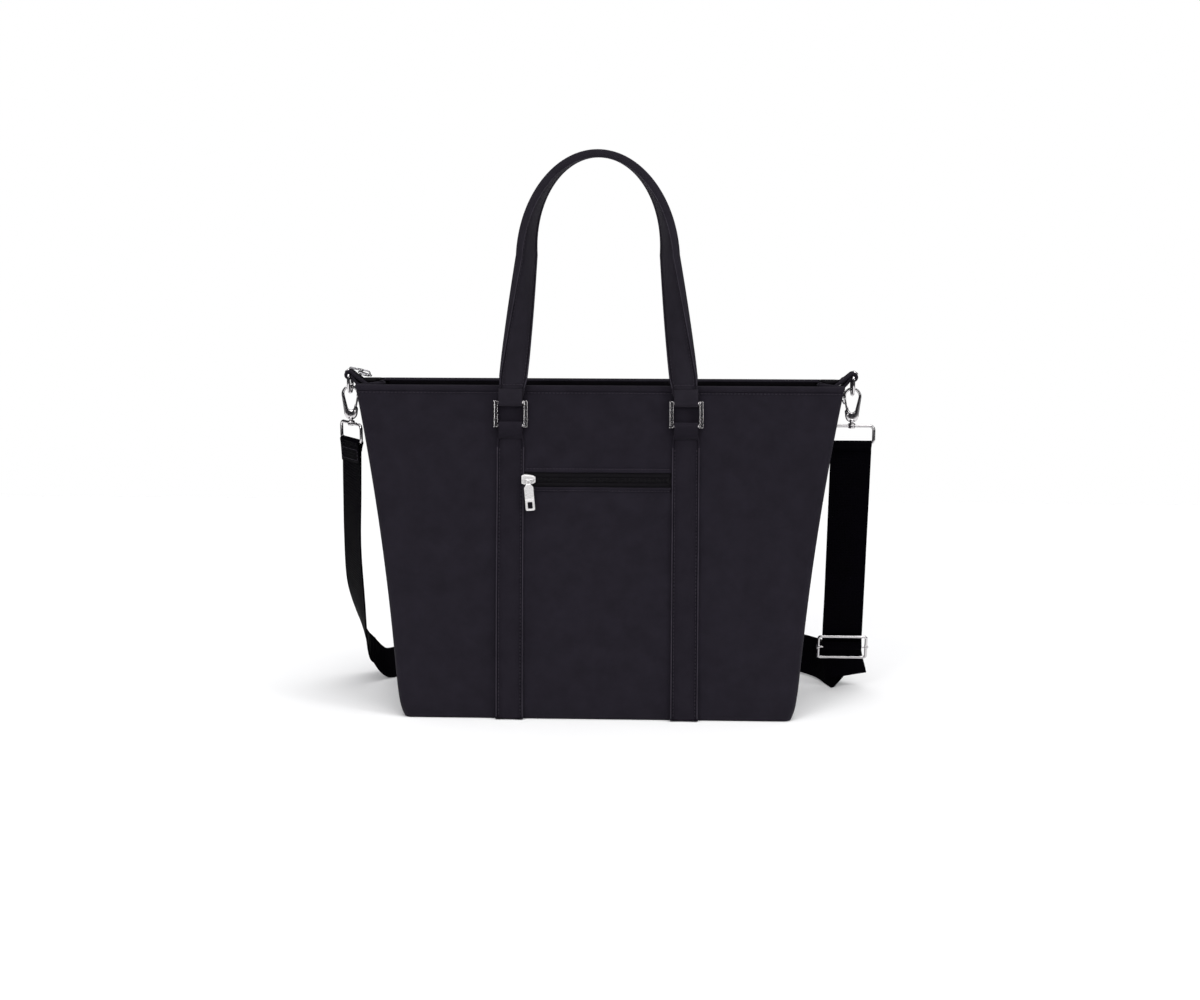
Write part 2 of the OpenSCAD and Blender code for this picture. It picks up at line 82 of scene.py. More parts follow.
# =====================================================================
# Mesh helpers: everything is drawn in millimetres and stored in metres
# =====================================================================
def piece(name, verts, faces, body, material, replaces=(), uvs=None, smooth=True):
    mesh = bpy.data.meshes.new(name)
    mesh.from_pydata([tuple(v) for v in np.asarray(verts, float) * MM], [], faces)
    mesh.validate()
    mesh.update()
    if uvs is not None:
        layer = mesh.uv_layers.new(name="cloth")
        loop_verts = np.zeros(len(mesh.loops), dtype=np.int32)
        mesh.loops.foreach_get("vertex_index", loop_verts)
        layer.data.foreach_set("uv", (np.asarray(uvs, float) * MM)[loop_verts].ravel())
    if smooth:
        mesh.shade_smooth()
    mesh.materials.append(material)
    obj = bpy.data.objects.new(name, mesh)
    bpy.context.scene.collection.objects.link(obj)
    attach(obj, body)
    if replaces:
        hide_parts(*replaces)
    return obj


class Builder:
    """Collects several closed surfaces into one mesh."""

    def __init__(self):
        self.verts, self.faces, self.uvs = [], [], []

    def add(self, verts, faces, uvs=None):
        start = len(self.verts)
        self.verts.extend([tuple(v) for v in verts])
        self.faces.extend([tuple(start + i for i in f) for f in faces])
        self.uvs.extend([tuple(u) for u in (uvs if uvs is not None else [(v[0], v[2]) for v in verts])])

    def piece(self, name, body, material, slot, replaces=(), smooth=True):
        return piece(name, self.verts, self.faces, body, material, replaces, self.uvs, smooth)


def grid_faces(rows, cols, wrap_cols=False, wrap_rows=False, start=0):
    faces = []
    for j in range(rows if wrap_rows else rows - 1):
        for i in range(cols if wrap_cols else cols - 1):
            a = start + j * cols + i
            b = start + j * cols + (i + 1) % cols
            c = start + ((j + 1) % rows) * cols + (i + 1) % cols
            d = start + ((j + 1) % rows) * cols + i
            faces.append((a, b, c, d))
    return faces


def tube(builder, rings, closed=False):
    """Skin over rings of equal length; open ends are capped with a fan."""
    rings = np.asarray(rings, float)
    rows, cols = rings.shape[:2]
    verts = rings.reshape(-1, 3).tolist()
    faces = grid_faces(rows, cols, wrap_cols=True, wrap_rows=closed)
    run = np.concatenate([[0], np.cumsum(np.linalg.norm(np.diff(rings.mean(1), axis=0), axis=1))])
    around = np.concatenate([[0], np.cumsum(np.linalg.norm(np.diff(rings[0], axis=0), axis=1))])
    uvs = [(around[i], run[j]) for j in range(rows) for i in range(cols)]
    if not closed:
        for row, flip in ((0, True), (rows - 1, False)):
            middle = len(verts)
            verts.append(rings[row].mean(0).tolist())
            uvs.append((0, run[row]))
            for i in range(cols):
                a, b = row * cols + i, row * cols + (i + 1) % cols
                faces.append((b, a, middle) if flip else (a, b, middle))
    builder.add(verts, faces, uvs)


def unit(v):
    v = np.asarray(v, float)
    return v / max(np.linalg.norm(v), 1e-9)


def tangents(path, closed=False):
    path = np.asarray(path, float)
    if closed:
        d = np.roll(path, -1, 0) - np.roll(path, 1, 0)
    else:
        d = np.gradient(path, axis=0)
    return d / np.maximum(np.linalg.norm(d, axis=1, keepdims=True), 1e-9)


def wire(builder, path, radius, sides=12, closed=False, up=(0.13, 0.31, 0.94)):
    """Round wire along a path; radius may be one number or one per point, or (across, along up)."""
    path = np.asarray(path, float)
    t = tangents(path, closed)
    rad = np.broadcast_to(np.asarray(radius, float), (len(path),)) if np.ndim(radius) < 2 else None
    rings = []
    a = unit(np.cross(t[0], up))
    for k, (c, d) in enumerate(zip(path, t)):
        a = unit(a - d * np.dot(a, d))
        b = np.cross(d, a)
        ra, rb = (rad[k], rad[k]) if rad is not None else radius[k]
        rings.append([c + a * math.cos(q) * ra + b * math.sin(q) * rb
                      for q in np.linspace(0, 2 * math.pi, sides, endpoint=False)])
    tube(builder, rings, closed)


def smooth_path(points, per=8):
    """Catmull-Rom curve through points of any dimension."""
    p = np.asarray(points, float)
    p = np.vstack([2 * p[0] - p[1], p, 2 * p[-1] - p[-2]])
    out = []
    for k in range(1, len(p) - 2):
        for s in np.linspace(0, 1, per, endpoint=False):
            a, b, c, d = p[k - 1], p[k], p[k + 1], p[k + 2]
            out.append(0.5 * (2 * b + (c - a) * s + (2 * a - 5 * b + 4 * c - d) * s * s
                              + (3 * b - a - 3 * c + d) * s ** 3))
    out.append(p[-2])
    return np.array(out)


def strap_section(width, thick, sides=28, crown=0.0, edge=None):
    """Closed outline (across, out) of a strap with rounded edges and a slight crown."""
    h, r = width / 2, thick / 2 if edge is None else edge
    pts = []
    for a in np.linspace(-math.pi / 2, math.pi / 2, 7):
        pts.append((h - r + r * math.cos(a), thick / 2 * math.sin(a)))
    for x in np.linspace(h - r, -(h - r), sides // 2)[1:-1]:
        pts.append((x, thick / 2 + crown * (1 - (x / h) ** 2)))
    for a in np.linspace(math.pi / 2, 3 * math.pi / 2, 7):
        pts.append((-(h - r) + r * math.cos(a), thick / 2 * math.sin(a)))
    for x in np.linspace(-(h - r), h - r, sides // 2)[1:-1]:
        pts.append((x, -thick / 2 - crown * (1 - (x / h) ** 2)))
    return np.array(pts)


def ribbon_frames(centres, across, flip=1.0):
    centres = np.asarray(centres, float)
    t = tangents(centres)
    frames = []
    for c, d, w in zip(centres, t, np.asarray(across, float)):
        w = unit(w - d * np.dot(w, d))
        n = np.cross(d, w) * flip
        frames.append((c, w, n, d))
    return frames


def ribbon(builder, frames, sections):
    rings = []
    for (c, w, n, _), sec in zip(frames, sections):
        rings.append([c + w * a + n * b for a, b in sec])
    tube(builder, rings)


def stitches(builder, path, normals, pitch=3.4, length=2.3, r=0.28, lift=0.12):
    """A row of separate thread stitches laid along a path on a surface."""
    path = np.asarray(path, float)
    normals = np.asarray(normals, float)
    run = np.concatenate([[0], np.cumsum(np.linalg.norm(np.diff(path, axis=0), axis=1))])
    total = run[-1]
    count = max(1, int(total / pitch))
    for k in range(count):
        s = (k + 0.5) * total / count
        ends = []
        for q in (s - length / 2, s - length / 4, s + length / 4, s + length / 2):
            q = min(max(q, 0), total)
            ends.append(np.array([np.interp(q, run, path[:, i]) for i in range(3)]))
        n = unit([np.interp(s, run, normals[:, i]) for i in range(3)])
        d = unit(ends[3] - ends[0])
        b = np.cross(d, n)
        rings = []
        for e, (rr, hh) in zip(ends, ((0.5, -0.25), (1, 0.1), (1, 0.1), (0.5, -0.25))):
            rings.append([e + n * (lift + hh * r) + (b * math.cos(q) + n * math.sin(q)) * r * rr
                          for q in np.linspace(0, 2 * math.pi, 6, endpoint=False)])
        tube(builder, rings)


def on_front(x, y, z):
    c, s = math.cos(LEAN), math.sin(LEAN)
    return np.array([x, -BASE_D / 2 + y * c + z * s, -y * s + z * c])


def front_axes():
    """Unit vectors out of the front panel and up it."""
    return np.array([0, -math.cos(LEAN), math.sin(LEAN)]), np.array([0, math.sin(LEAN), math.cos(LEAN)])


def turn_about_x(p, centre, degrees):
    a = math.radians(degrees)
    p = np.asarray(p, float) - centre
    q = p.copy()
    q[..., 1] = p[..., 1] * math.cos(a) - p[..., 2] * math.sin(a)
    q[..., 2] = p[..., 1] * math.sin(a) + p[..., 2] * math.cos(a)
    return q + centre


def to_rear(p):
    p = np.asarray(p, float)
    return p * np.array([-1, -1, 1])


# =====================================================================
# Materials
# =====================================================================
TWILL_ANGLE = math.radians(38)
# the Wave texture repeats every 2*pi/20 units of its scale
ONE_WAVE = 2 * math.pi / 20


def new_material(name):
    mat = bpy.data.materials.new(name)
    mat.use_nodes = True
    nodes = mat.node_tree.nodes
    return mat, nodes, mat.node_tree.links, nodes["Principled BSDF"]


def add(nodes, kind, **values):
    node = nodes.new(kind)
    for key, value in values.items():
        if key in node.inputs:
            node.inputs[key].default_value = value
        else:
            setattr(node, key, value)
    return node


def colour_variation(nodes, links, shader, vector, dark, light, scale, detail=4.0):
    spots = add(nodes, "ShaderNodeTexNoise", Scale=scale, Detail=detail, Roughness=0.6)
    ramp = nodes.new("ShaderNodeValToRGB")
    ramp.color_ramp.elements[0].position = 0.3
    ramp.color_ramp.elements[1].position = 0.72
    ramp.color_ramp.elements[0].color = (*dark, 1)
    ramp.color_ramp.elements[1].color = (*light, 1)
    links.new(vector, spots.inputs["Vector"])
    links.new(spots.outputs["Fac"], ramp.inputs["Fac"])
    links.new(ramp.outputs["Color"], shader.inputs["Base Color"])
    return spots


def wave_height(nodes, links, uv, yarn, across, twill):
    """Height of the crossed yarns, one wave along each direction of the weave."""
    per_metre = 1 / (yarn * MM)
    stretch = add(nodes, "ShaderNodeMapping")
    stretch.inputs["Scale"].default_value = (per_metre, per_metre * across, 1)
    if twill:
        stretch.inputs["Rotation"].default_value = (0, 0, TWILL_ANGLE)
    links.new(uv.outputs["UV"], stretch.inputs["Vector"])
    yarns = add(nodes, "ShaderNodeMath", operation="MAXIMUM")
    for k, axis in enumerate("XY"):
        wave = add(nodes, "ShaderNodeTexWave", bands_direction=axis, Scale=ONE_WAVE, Distortion=0.25)
        links.new(stretch.outputs["Vector"], wave.inputs["Vector"])
        links.new(wave.outputs["Fac"], yarns.inputs[k])
    return yarns.outputs["Value"]


def slub_height(nodes, links, uv):
    """Uneven thickness of the yarns, longer along the cloth than across it."""
    slub = add(nodes, "ShaderNodeTexNoise", Scale=90.0, Detail=5.0, Roughness=0.65)
    stretch = add(nodes, "ShaderNodeMapping")
    stretch.inputs["Scale"].default_value = (0.35, 1.6, 1)
    links.new(uv.outputs["UV"], stretch.inputs["Vector"])
    links.new(stretch.outputs["Vector"], slub.inputs["Vector"])
    return slub.outputs["Fac"]


def bump_stack(nodes, links, shader, layers):
    """Bumps on top of each other, from (height, strength, distance) layers, broadest first."""
    below = None
    for height, strength, distance in layers:
        bump = add(nodes, "ShaderNodeBump", Strength=strength, Distance=distance)
        links.new(height, bump.inputs["Height"])
        if below:
            links.new(below.outputs["Normal"], bump.inputs["Normal"])
        below = bump
    links.new(below.outputs["Normal"], shader.inputs["Normal"])


def vary_roughness(nodes, links, shader, source, low, high):
    rough = add(nodes, "ShaderNodeMapRange")
    rough.inputs["To Min"].default_value = low
    rough.inputs["To Max"].default_value = high
    links.new(source, rough.inputs["Value"])
    links.new(rough.outputs["Result"], shader.inputs["Roughness"])


def woven(name, dark, light, yarn=0.55, roughness=0.72, sheen=0.35, depth=0.00012, twill=False,
          crease=0.0004, across=1.0, specular=0.35):
    """Plain or twill weave at its real yarn spacing (mm), over soft creases and mottling."""
    mat, nodes, links, shader = new_material(name)
    uv = add(nodes, "ShaderNodeUVMap", uv_map="cloth")
    coords = add(nodes, "ShaderNodeTexCoord")
    creases = add(nodes, "ShaderNodeTexNoise", Scale=14.0, Detail=3.0, Roughness=0.5)
    links.new(coords.outputs["Object"], creases.inputs["Vector"])
    bump_stack(nodes, links, shader, ((creases.outputs["Fac"], 1.0, crease),
                                      (slub_height(nodes, links, uv), 0.8, depth * 2.2),
                                      (wave_height(nodes, links, uv, yarn, across, twill), 1.0, depth)))
    spots = colour_variation(nodes, links, shader, coords.outputs["Object"], dark, light, 55.0)
    vary_roughness(nodes, links, shader, spots.outputs["Fac"], roughness - 0.08, roughness + 0.08)
    shader.inputs["Specular IOR Level"].default_value = specular
    shader.inputs["Sheen Weight"].default_value = sheen
    shader.inputs["Sheen Roughness"].default_value = 0.45
    shader.inputs["Sheen Tint"].default_value = (0.75, 0.7, 0.8, 1)
    return mat


def metal(name, colour, roughness=0.14, metallic=1.0):
    """Polished plate with fine polishing lines and small handling marks."""
    mat, nodes, links, shader = new_material(name)
    coords = add(nodes, "ShaderNodeTexCoord")
    marks = add(nodes, "ShaderNodeTexNoise", Scale=420.0, Detail=6.0, Roughness=0.7)
    lines_map = add(nodes, "ShaderNodeMapping")
    lines_map.inputs["Scale"].default_value = (1, 1, 9)
    links.new(coords.outputs["Object"], lines_map.inputs["Vector"])
    links.new(lines_map.outputs["Vector"], marks.inputs["Vector"])
    vary_roughness(nodes, links, shader, marks.outputs["Fac"], roughness * 0.6, roughness * 1.7)
    ramp = nodes.new("ShaderNodeValToRGB")
    ramp.color_ramp.elements[0].color = (*[c * 0.86 for c in colour], 1)
    ramp.color_ramp.elements[1].color = (*colour, 1)
    links.new(marks.outputs["Fac"], ramp.inputs["Fac"])
    links.new(ramp.outputs["Color"], shader.inputs["Base Color"])
    bump_stack(nodes, links, shader, ((marks.outputs["Fac"], 0.35, 0.00004),))
    shader.inputs["Metallic"].default_value = metallic
    return mat


SHELL = woven("shell_cloth", (0.0084, 0.0065, 0.0117), (0.0130, 0.0106, 0.0174), yarn=0.42, sheen=0.03,
              specular=0.12)
BAND = woven("band_cloth", (0.0080, 0.0060, 0.0112), (0.0122, 0.0098, 0.0160), yarn=0.42, crease=0.0001,
             sheen=0.03, specular=0.12)
HANDLE = woven("handle_cloth", (0.0100, 0.0080, 0.0132), (0.0152, 0.0126, 0.0194), yarn=0.42, crease=0.0001,
               sheen=0.05, specular=0.14)
LINING = woven("lining_cloth", (0.0008, 0.0004, 0.0011), (0.0016, 0.0009, 0.0022), yarn=0.25, roughness=0.6,
                sheen=0.0, crease=0.0012, specular=0.04)
WEBBING = woven("webbing_yarn", (0.0003, 0.0001, 0.0008), (0.0009, 0.0004, 0.0018), yarn=1.5, across=0.55,
                 roughness=0.65, sheen=0.0, depth=0.00035, crease=0.00005, specular=0.02)
TAPE = woven("zip_tape_cloth", (0.0022, 0.0016, 0.0030), (0.0040, 0.0032, 0.0052), yarn=0.5, twill=True,
             roughness=0.66, sheen=0.02, specular=0.12)
THREAD = woven("thread", (0.0230, 0.0190, 0.0290), (0.0400, 0.0340, 0.0480), yarn=0.3, roughness=0.5,
               sheen=0.03, specular=0.2)
COIL = woven("coil_nylon", (0.0028, 0.0022, 0.0038), (0.0052, 0.0042, 0.0066), yarn=0.6, roughness=0.35,
             sheen=0.0, depth=0.00002, crease=0.00002, specular=0.2)
BOARD = woven("board_sheet", (0.0200, 0.0200, 0.0200), (0.0300, 0.0300, 0.0300), yarn=0.8, roughness=0.6,
              sheen=0.0)
NICKEL = metal("nickel_plate", (0.66, 0.64, 0.65))
NICKEL_SATIN = metal("satin_plate", (0.88, 0.86, 0.86), 0.25, 0.35)
NICKEL_DARK = metal("gate_steel", (0.42, 0.41, 0.43), 0.2)


# =====================================================================
# Shell: lofted cloth with a soft belly, rounded corners and folded gussets
# =====================================================================
def half_front(z):
    u = z / 306.0
    return 184.7 + 21.6 * u + 20.3 * u * u - 5.0 * math.exp(-max(z, 0) / 11.0)


def half_back(z):
    u = max(z, 0) / 306.0
    return 184.0 + 31.5 * u ** 1.15 - 5.0 * math.exp(-max(z, 0) / 7.0)


def belly(x, z, half):
    """How far the filled cloth stands out from its flat panel."""
    u = min(max(z / 212.0, 0), 1)
    side = max(0.0, 1 - abs(x / half) ** 3)
    return 3.6 * math.sin(math.pi * u) ** 0.8 * side


def ripple(x, z, seed, size=1.0):
    """Soft, broad puckers of unpressed cloth."""
    a = noise.noise(Vector((x * 0.011 + seed, z * 0.017, seed)))
    b = noise.noise(Vector((x * 0.034 + seed, z * 0.026, seed + 7)))
    return size * (1.1 * a + 0.45 * b)


def flat_at_zip(x, z):
    """0 on the panel round the pocket zip, where the cloth is held flat, and 1 away from it."""
    beyond = max((abs(z - ZIP_UP * math.cos(LEAN)) - 14) / 14, (abs(x) - ZIP_L / 2 - 2) / 12)
    return min(max(beyond, 0.0), 1.0)


def outline(z, inset=0.0, puff=1.0):
    """Points round the bag at height z, anticlockwise seen from above, starting at the front left."""
    hf, hb = half_front(z) - inset, half_back(z) - inset
    u = z / 306.0
    depth = BASE_D / 2 - 43.0 * u - inset
    low = 3.0 * math.exp(-max(z, 0) / 6.0)
    depth -= low
    fold = 10.5 * u ** 0.8
    rf, rb = max(2.0, 5.0 + 2.0 * (1 - u) - inset), max(2.0, 7.0 + 4.0 * u - inset)
    pts = []
    calm = min(1.0, max(0.0, (RIM_Z - z) / 40.0)) * min(1.0, max(z, 0) / 12.0) * puff
    for x in np.linspace(-(hf - rf), hf - rf, 110):
        out = belly(x, z, hf) * puff + ripple(x, z, 1.3, calm) * flat_at_zip(x, z)
        pts.append((x, -depth - out))
    for a in np.linspace(-90, 0, 9)[1:]:
        a = math.radians(a)
        pts.append((hf - rf + rf * math.cos(a), -depth + rf + rf * math.sin(a)))
    for t in np.linspace(0, 1, 30)[1:-1]:
        y = (-depth + rf) * (1 - t) + (depth - rb) * t
        x = hf * (1 - t) + hb * t - fold * math.sin(math.pi * t) ** 1.3
        x += ripple(y * 1.5, z, 5.7, calm * 1.2) * math.sin(math.pi * t)
        pts.append((x, y))
    for a in np.linspace(0, 90, 9)[:-1]:
        a = math.radians(a)
        pts.append((hb - rb + rb * math.cos(a), depth - rb + rb * math.sin(a)))
    for x in np.linspace(hb - rb, -(hb - rb), 84):
        out = belly(x, z, hb) * puff + ripple(x, z, 9.1, calm)
        pts.append((x, depth + out))
    for a in np.linspace(90, 180, 9)[1:]:
        a = math.radians(a)
        pts.append((-(hb - rb) + rb * math.cos(a), depth - rb + rb * math.sin(a)))
    for t in np.linspace(1, 0, 30)[1:-1]:
        y = (-depth + rf) * (1 - t) + (depth - rb) * t
        x = hf * (1 - t) + hb * t - fold * math.sin(math.pi * t) ** 1.3
        x += ripple(y * 1.5, z, 3.1, calm * 1.2) * math.sin(math.pi * t)
        pts.append((-x, y))
    for a in np.linspace(180, 270, 9)[:-1]:
        a = math.radians(a)
        pts.append((-(hf - rf) + rf * math.cos(a), -depth + rf + rf * math.sin(a)))
    return np.array([(p[0], p[1], z) for p in pts])


def make_shell():
    heights = np.concatenate([[0.4, 1.2, 2.6, 4.5, 7, 10, 14], np.linspace(19, 296, 74), [299.5, 302.5]])
    rows = [outline(z) for z in heights]
    around = np.concatenate([[0], np.cumsum(np.linalg.norm(np.diff(rows[40], axis=0), axis=1))])
    verts = np.vstack(rows)
    cols = len(rows[0])
    faces = grid_faces(len(rows), cols, wrap_cols=True)
    uvs = [(around[i], z) for z in heights for i in range(cols)]
    # the base turns under in two rings and closes flat
    base_start = len(verts)
    extra = [rows[0] * np.array([k, k, 0]) + np.array([0, 0, z])
             for k, z in ((0.985, 0.2), (0.9, 0.15), (0.6, 0.15), (0.25, 0.15))]
    verts = np.vstack([verts] + extra)
    faces += [tuple(reversed(f)) for f in grid_faces(len(extra), cols, wrap_cols=True, start=base_start)]
    for i in range(cols):
        a, b = i, (i + 1) % cols
        faces.append((b, a, base_start + a, base_start + b))
    last = base_start + (len(extra) - 1) * cols
    faces.append(tuple(last + i for i in reversed(range(cols))))
    uvs += [(p[0], p[1]) for ring in extra for p in ring]
    shell = piece("shell", verts, faces, "bag", SHELL,
                  ("front_panel", "back_panel", "side_gusset_left", "side_gusset_right", "base_panel"), uvs)
    solid = shell.modifiers.new("thickness", "SOLIDIFY")
    solid.thickness = 2.2 * MM
    solid.offset = -1
    return shell


def make_rim():
    """Cloth turned over the top edge, with one row of stitches below it."""
    builder = Builder()
    section = [(-0.3, -4.8), (-0.5, -4.2), (-0.6, -2.5), (-0.3, -0.5), (0.9, 0.35), (3.2, 0.35), (5.2, 0.1),
               (6.6, -0.8), (7.0, -1.4), (7.0, -2.3), (6.4, -2.3), (5.8, -2.0), (3, -2.0), (0.4, -3.4),
               (0.3, -4.8)]
    rings = []
    for i, dz in section:
        rings.append(outline(RIM_Z + dz, i, 0.0))
    rings = np.array(rings).transpose(1, 0, 2)[:, ::-1]
    tube(builder, rings, closed=True)
    rim = builder.piece("rim_edge", "bag", BAND, "band_cloth", ("rim_binding",))
    thread = Builder()
    path = outline(RIM_Z - 6.4, -0.1, 0.0)
    normals = np.cross(tangents(path, True), (0, 0, 1.0))
    path = np.vstack([path, path[:1]])
    normals = np.vstack([normals, normals[:1]])
    stitches(thread, path, normals)
    thread.piece("rim_stitching", "bag", THREAD, "band_cloth")
    return rim


def make_lining():
    heights = np.concatenate([[9.0, 10.5, 14], np.linspace(20, 303, 45)])
    rows = []
    for z in heights:
        ring = outline(z, 6.6 + 1.5 * math.exp(-(z - 9) / 6), 0.0)
        wobble = min(1.0, (z - 9) / 30.0) * min(1.0, (306 - z) / 30.0)
        for k, p in enumerate(ring):
            pull = 1.4 * (0.5 + 0.5 * noise.noise(Vector((p[0] * 0.02, p[1] * 0.03 + 4,
                                                          z * 0.018)))) * wobble
            ring[k][:2] *= 1 - pull / max(40.0, np.linalg.norm(p[:2]))
        rows.append(ring)
    cols = len(rows[0])
    around = np.concatenate([[0], np.cumsum(np.linalg.norm(np.diff(rows[20], axis=0), axis=1))])
    faces = [tuple(reversed(f)) for f in grid_faces(len(rows), cols, wrap_cols=True)]
    faces.append(tuple(range(cols)))
    uvs = [(around[i], z) for z in heights for i in range(cols)]
    lining = piece("lining_cloth", np.vstack(rows), faces, "bag", LINING, ("lining",), uvs)
    solid = lining.modifiers.new("thickness", "SOLIDIFY")
    solid.thickness = 0.7 * MM
    solid.offset = -1


make_shell()
make_rim()
make_lining()


# =====================================================================
# Strap bands with raised, stitched edges, turned round the ring's lower bar
# =====================================================================
# radius of the light thread-coloured cords laid on the strap edges: a painted highlight along the piping
PAINTED_HIGHLIGHT_CORD_R = 0.5
STITCH_IN = 2.9
LOOP_R = RING_BAR_R + 1.15
LOOP_T = 1.5
# half of a band's section: share of the half width, share of the piping's height
BAND_SIDE = [(1.0, 0.0), (1.0, 0.6), (0.975, 1.05), (0.93, 1.2), (0.885, 0.95), (0.865, 0.3), (0.835, 0.3),
             (0.8, 0.62), (0.35, 0.74), (0.0, 0.78)]
BAND_RIDGE = 2.1
BAND_TAPER_FROM, BAND_TAPER_L = 255, 12.0


def band_body(builder, x0, lift, place):
    cross = BAND_SIDE + [(-a, b) for a, b in reversed(BAND_SIDE[:-1])]
    rings = []
    for z in np.concatenate([[0.8, 2.5], np.linspace(8, 262, 44), [266, 269.5]]):
        narrow = min(1, max(0, z - BAND_TAPER_FROM) / BAND_TAPER_L)
        h = BAND_W / 2 * (1.0 - (1 - LOOP_W / BAND_W) * narrow)
        base = lift(z)
        ring = [on_front(x0 + a * h, -base - 0.1 - b * BAND_RIDGE, z) for a, b in cross]
        ring += [on_front(x0 - h, -base + 0.6, z), on_front(x0 + h, -base + 0.6, z)]
        rings.append(ring)
    tube(builder, place(np.array(rings)))


def band_loop(builder, x0, place):
    """Loop round the ring's bar: up the front of the band, over the bar and down behind."""
    path = [(-1.5, RING_UP - 12), (-3.4, RING_UP - 7.5), (-RING_OUT - LOOP_R * 0.92, RING_UP - 3.4)]
    for a in np.radians(np.linspace(190, 10, 19)):
        path.append((-RING_OUT + LOOP_R * math.cos(a), RING_UP + LOOP_R * math.sin(a)))
    path += [(-RING_OUT + LOOP_R, RING_UP - 2.5), (-0.9, RING_UP - 8)]
    fr = ribbon_frames(place(np.array([on_front(x0, y, z) for y, z in path])), [(1, 0, 0)] * len(path))
    ribbon(builder, fr, [strap_section(LOOP_W, LOOP_T, crown=0.05)] * len(fr))


def band_thread(builder, x0, lift, place):
    out, _ = front_axes()

    def row(points, **spacing):
        stitches(builder, place(np.array(points)), place(np.array([out] * len(points))), **spacing)
    for s in (-1, 1):
        row([on_front(x0 + s * (BAND_W / 2 - STITCH_IN), -lift(z) - 1.35, z)
             for z in np.linspace(4, 252, 60)])
        # a light thread-coloured cord on each raised edge: a painted highlight along the piping
        highlight_cord = [on_front(x0 + s * (BAND_W / 2 - 0.95), -lift(z) - 2.35, z) for z in np.linspace(3, 253, 60)]
        wire(builder, place(np.array(highlight_cord)), PAINTED_HIGHLIGHT_CORD_R, sides=8)
    z = RING_UP - 9.5
    row([on_front(x0 + x, -lift(z) - 2.35, z) for x in np.linspace(-LOOP_W / 2 + 1, LOOP_W / 2 - 1, 8)],
        pitch=3.0, length=2.1)


def build_band(name, node, centre_x, rear):
    x0 = -centre_x if rear else centre_x
    half = half_back if rear else half_front
    place = to_rear if rear else np.asarray

    def lift(z):
        height = z * math.cos(LEAN)
        return belly(x0, height, half(height))
    strap = Builder()
    band_body(strap, x0, lift, place)
    band_loop(strap, x0, place)
    strap.piece(name, "bag", BAND, "band_cloth", (node,))
    thread = Builder()
    band_thread(thread, x0, lift, place)
    thread.piece(name + "_stitching", "bag", THREAD, "band_cloth")


build_band("band_front_left_cloth", "band_front_left", -BAND_PITCH / 2, False)
build_band("band_front_right_cloth", "band_front_right", BAND_PITCH / 2, False)
build_band("band_rear_left_cloth", "band_rear_left", -BAND_PITCH / 2, True)
build_band("band_rear_right_cloth", "band_rear_right", BAND_PITCH / 2, True)


# =====================================================================
# Rectangular rings: round bars top and bottom, flat grooved side bars
# =====================================================================
RING_SIDE = [(1, 0.55), (0.92, 0.86), (0.72, 1.0), (0.46, 1.0), (0.3, 0.45), (0.0, 0.3), (-0.3, 0.45),
             (-0.46, 1.0), (-0.72, 1.0), (-0.92, 0.86), (-1, 0.55)]


def ring_mesh(builder, transform):
    side_x = (RING_IN_W + RING_SIDE_W) / 2
    for z in (0, RING_PITCH):
        path = [transform(np.array([x, 0, z])) for x in np.linspace(1.3 - side_x, side_x - 1.3, 9)]
        wire(builder, path, RING_BAR_R * 0.96, sides=20)
    w, t = RING_SIDE_W / 2, RING_BAR_R + 0.1
    section = [(a * w, b * t) for a, b in RING_SIDE]
    section += [(-a, -b) for a, b in section]
    ends = ((0, 0.8), (0.2, 0.93), (0.6, 0.98), (1.6, 1.0), (8, 1.0))
    lo, hi = -RING_BAR_R - 0.2, RING_PITCH + RING_BAR_R + 0.2
    stations = [(lo + d, k) for d, k in ends] + [(hi - d, k) for d, k in reversed(ends)]
    for s in (-1, 1):
        tube(builder, [[transform(np.array([s * side_x + a * k, -b * k, z])) for a, b in section]
                       for z, k in stations])


def at_ring_front(s):
    return lambda p: on_front(p[0] + s * BAND_PITCH / 2, p[1] - RING_OUT, p[2] + RING_UP)


def at_ring_rear(s):
    def place(p):
        q = turn_about_x(p, np.zeros(3), 180 - REAR_TIP)
        return to_rear(on_front(q[0] + s * BAND_PITCH / 2, q[1] - RING_OUT, q[2] + RING_UP))
    return place


for label, s in (("left", -1), ("right", 1)):
    b = Builder()
    ring_mesh(b, at_ring_front(s))
    b.piece("ring_front_%s_metal" % label, "front_rings", NICKEL, "nickel", ("ring_front_%s" % label,))
    b = Builder()
    ring_mesh(b, at_ring_rear(-s))
    b.piece("ring_rear_%s_metal" % label, "rear_rings", NICKEL, "nickel", ("ring_rear_%s" % label,))


# =====================================================================
# Handles: padded strap that turns a quarter from its legs to its crown
# =====================================================================
LEG_H = HANDLE_RISE - HANDLE_TOP


def handle_point(q):
    """Left half of the handle, q from 0 at the ring to 2 at the crown."""
    if q <= 1:
        z = q * LEG_H
        return np.array([-(BAND_PITCH / 2 + (HANDLE_HALF - BAND_PITCH / 2) * z / LEG_H), 0, z])
    a = (q - 1) * math.pi / 2
    return np.array([-HANDLE_HALF * math.cos(a), 0, LEG_H + HANDLE_TOP * math.sin(a)])


def handle_turn(z):
    return math.radians(90 * min(max((z - TURN_FROM) / (HANDLE_RISE - TURN_FROM), 0), 1) ** 0.72)


def handle_line(count=70):
    qs = list(np.linspace(0.0, 1, count // 2, endpoint=False)) + list(np.linspace(1, 2, count // 2))
    left = [handle_point(q) for q in qs]
    right = [p * np.array([-1, 1, 1]) for p in reversed(left[:-1])]
    pts = np.array(left + right)
    t = tangents(pts)
    across = []
    for p, d in zip(pts, t):
        turn = handle_turn(p[2])
        flat = np.array([d[2], 0, -d[0]])
        across.append(flat * math.cos(turn) + np.array([0, math.sin(turn), 0]))
    return pts, np.array(across)


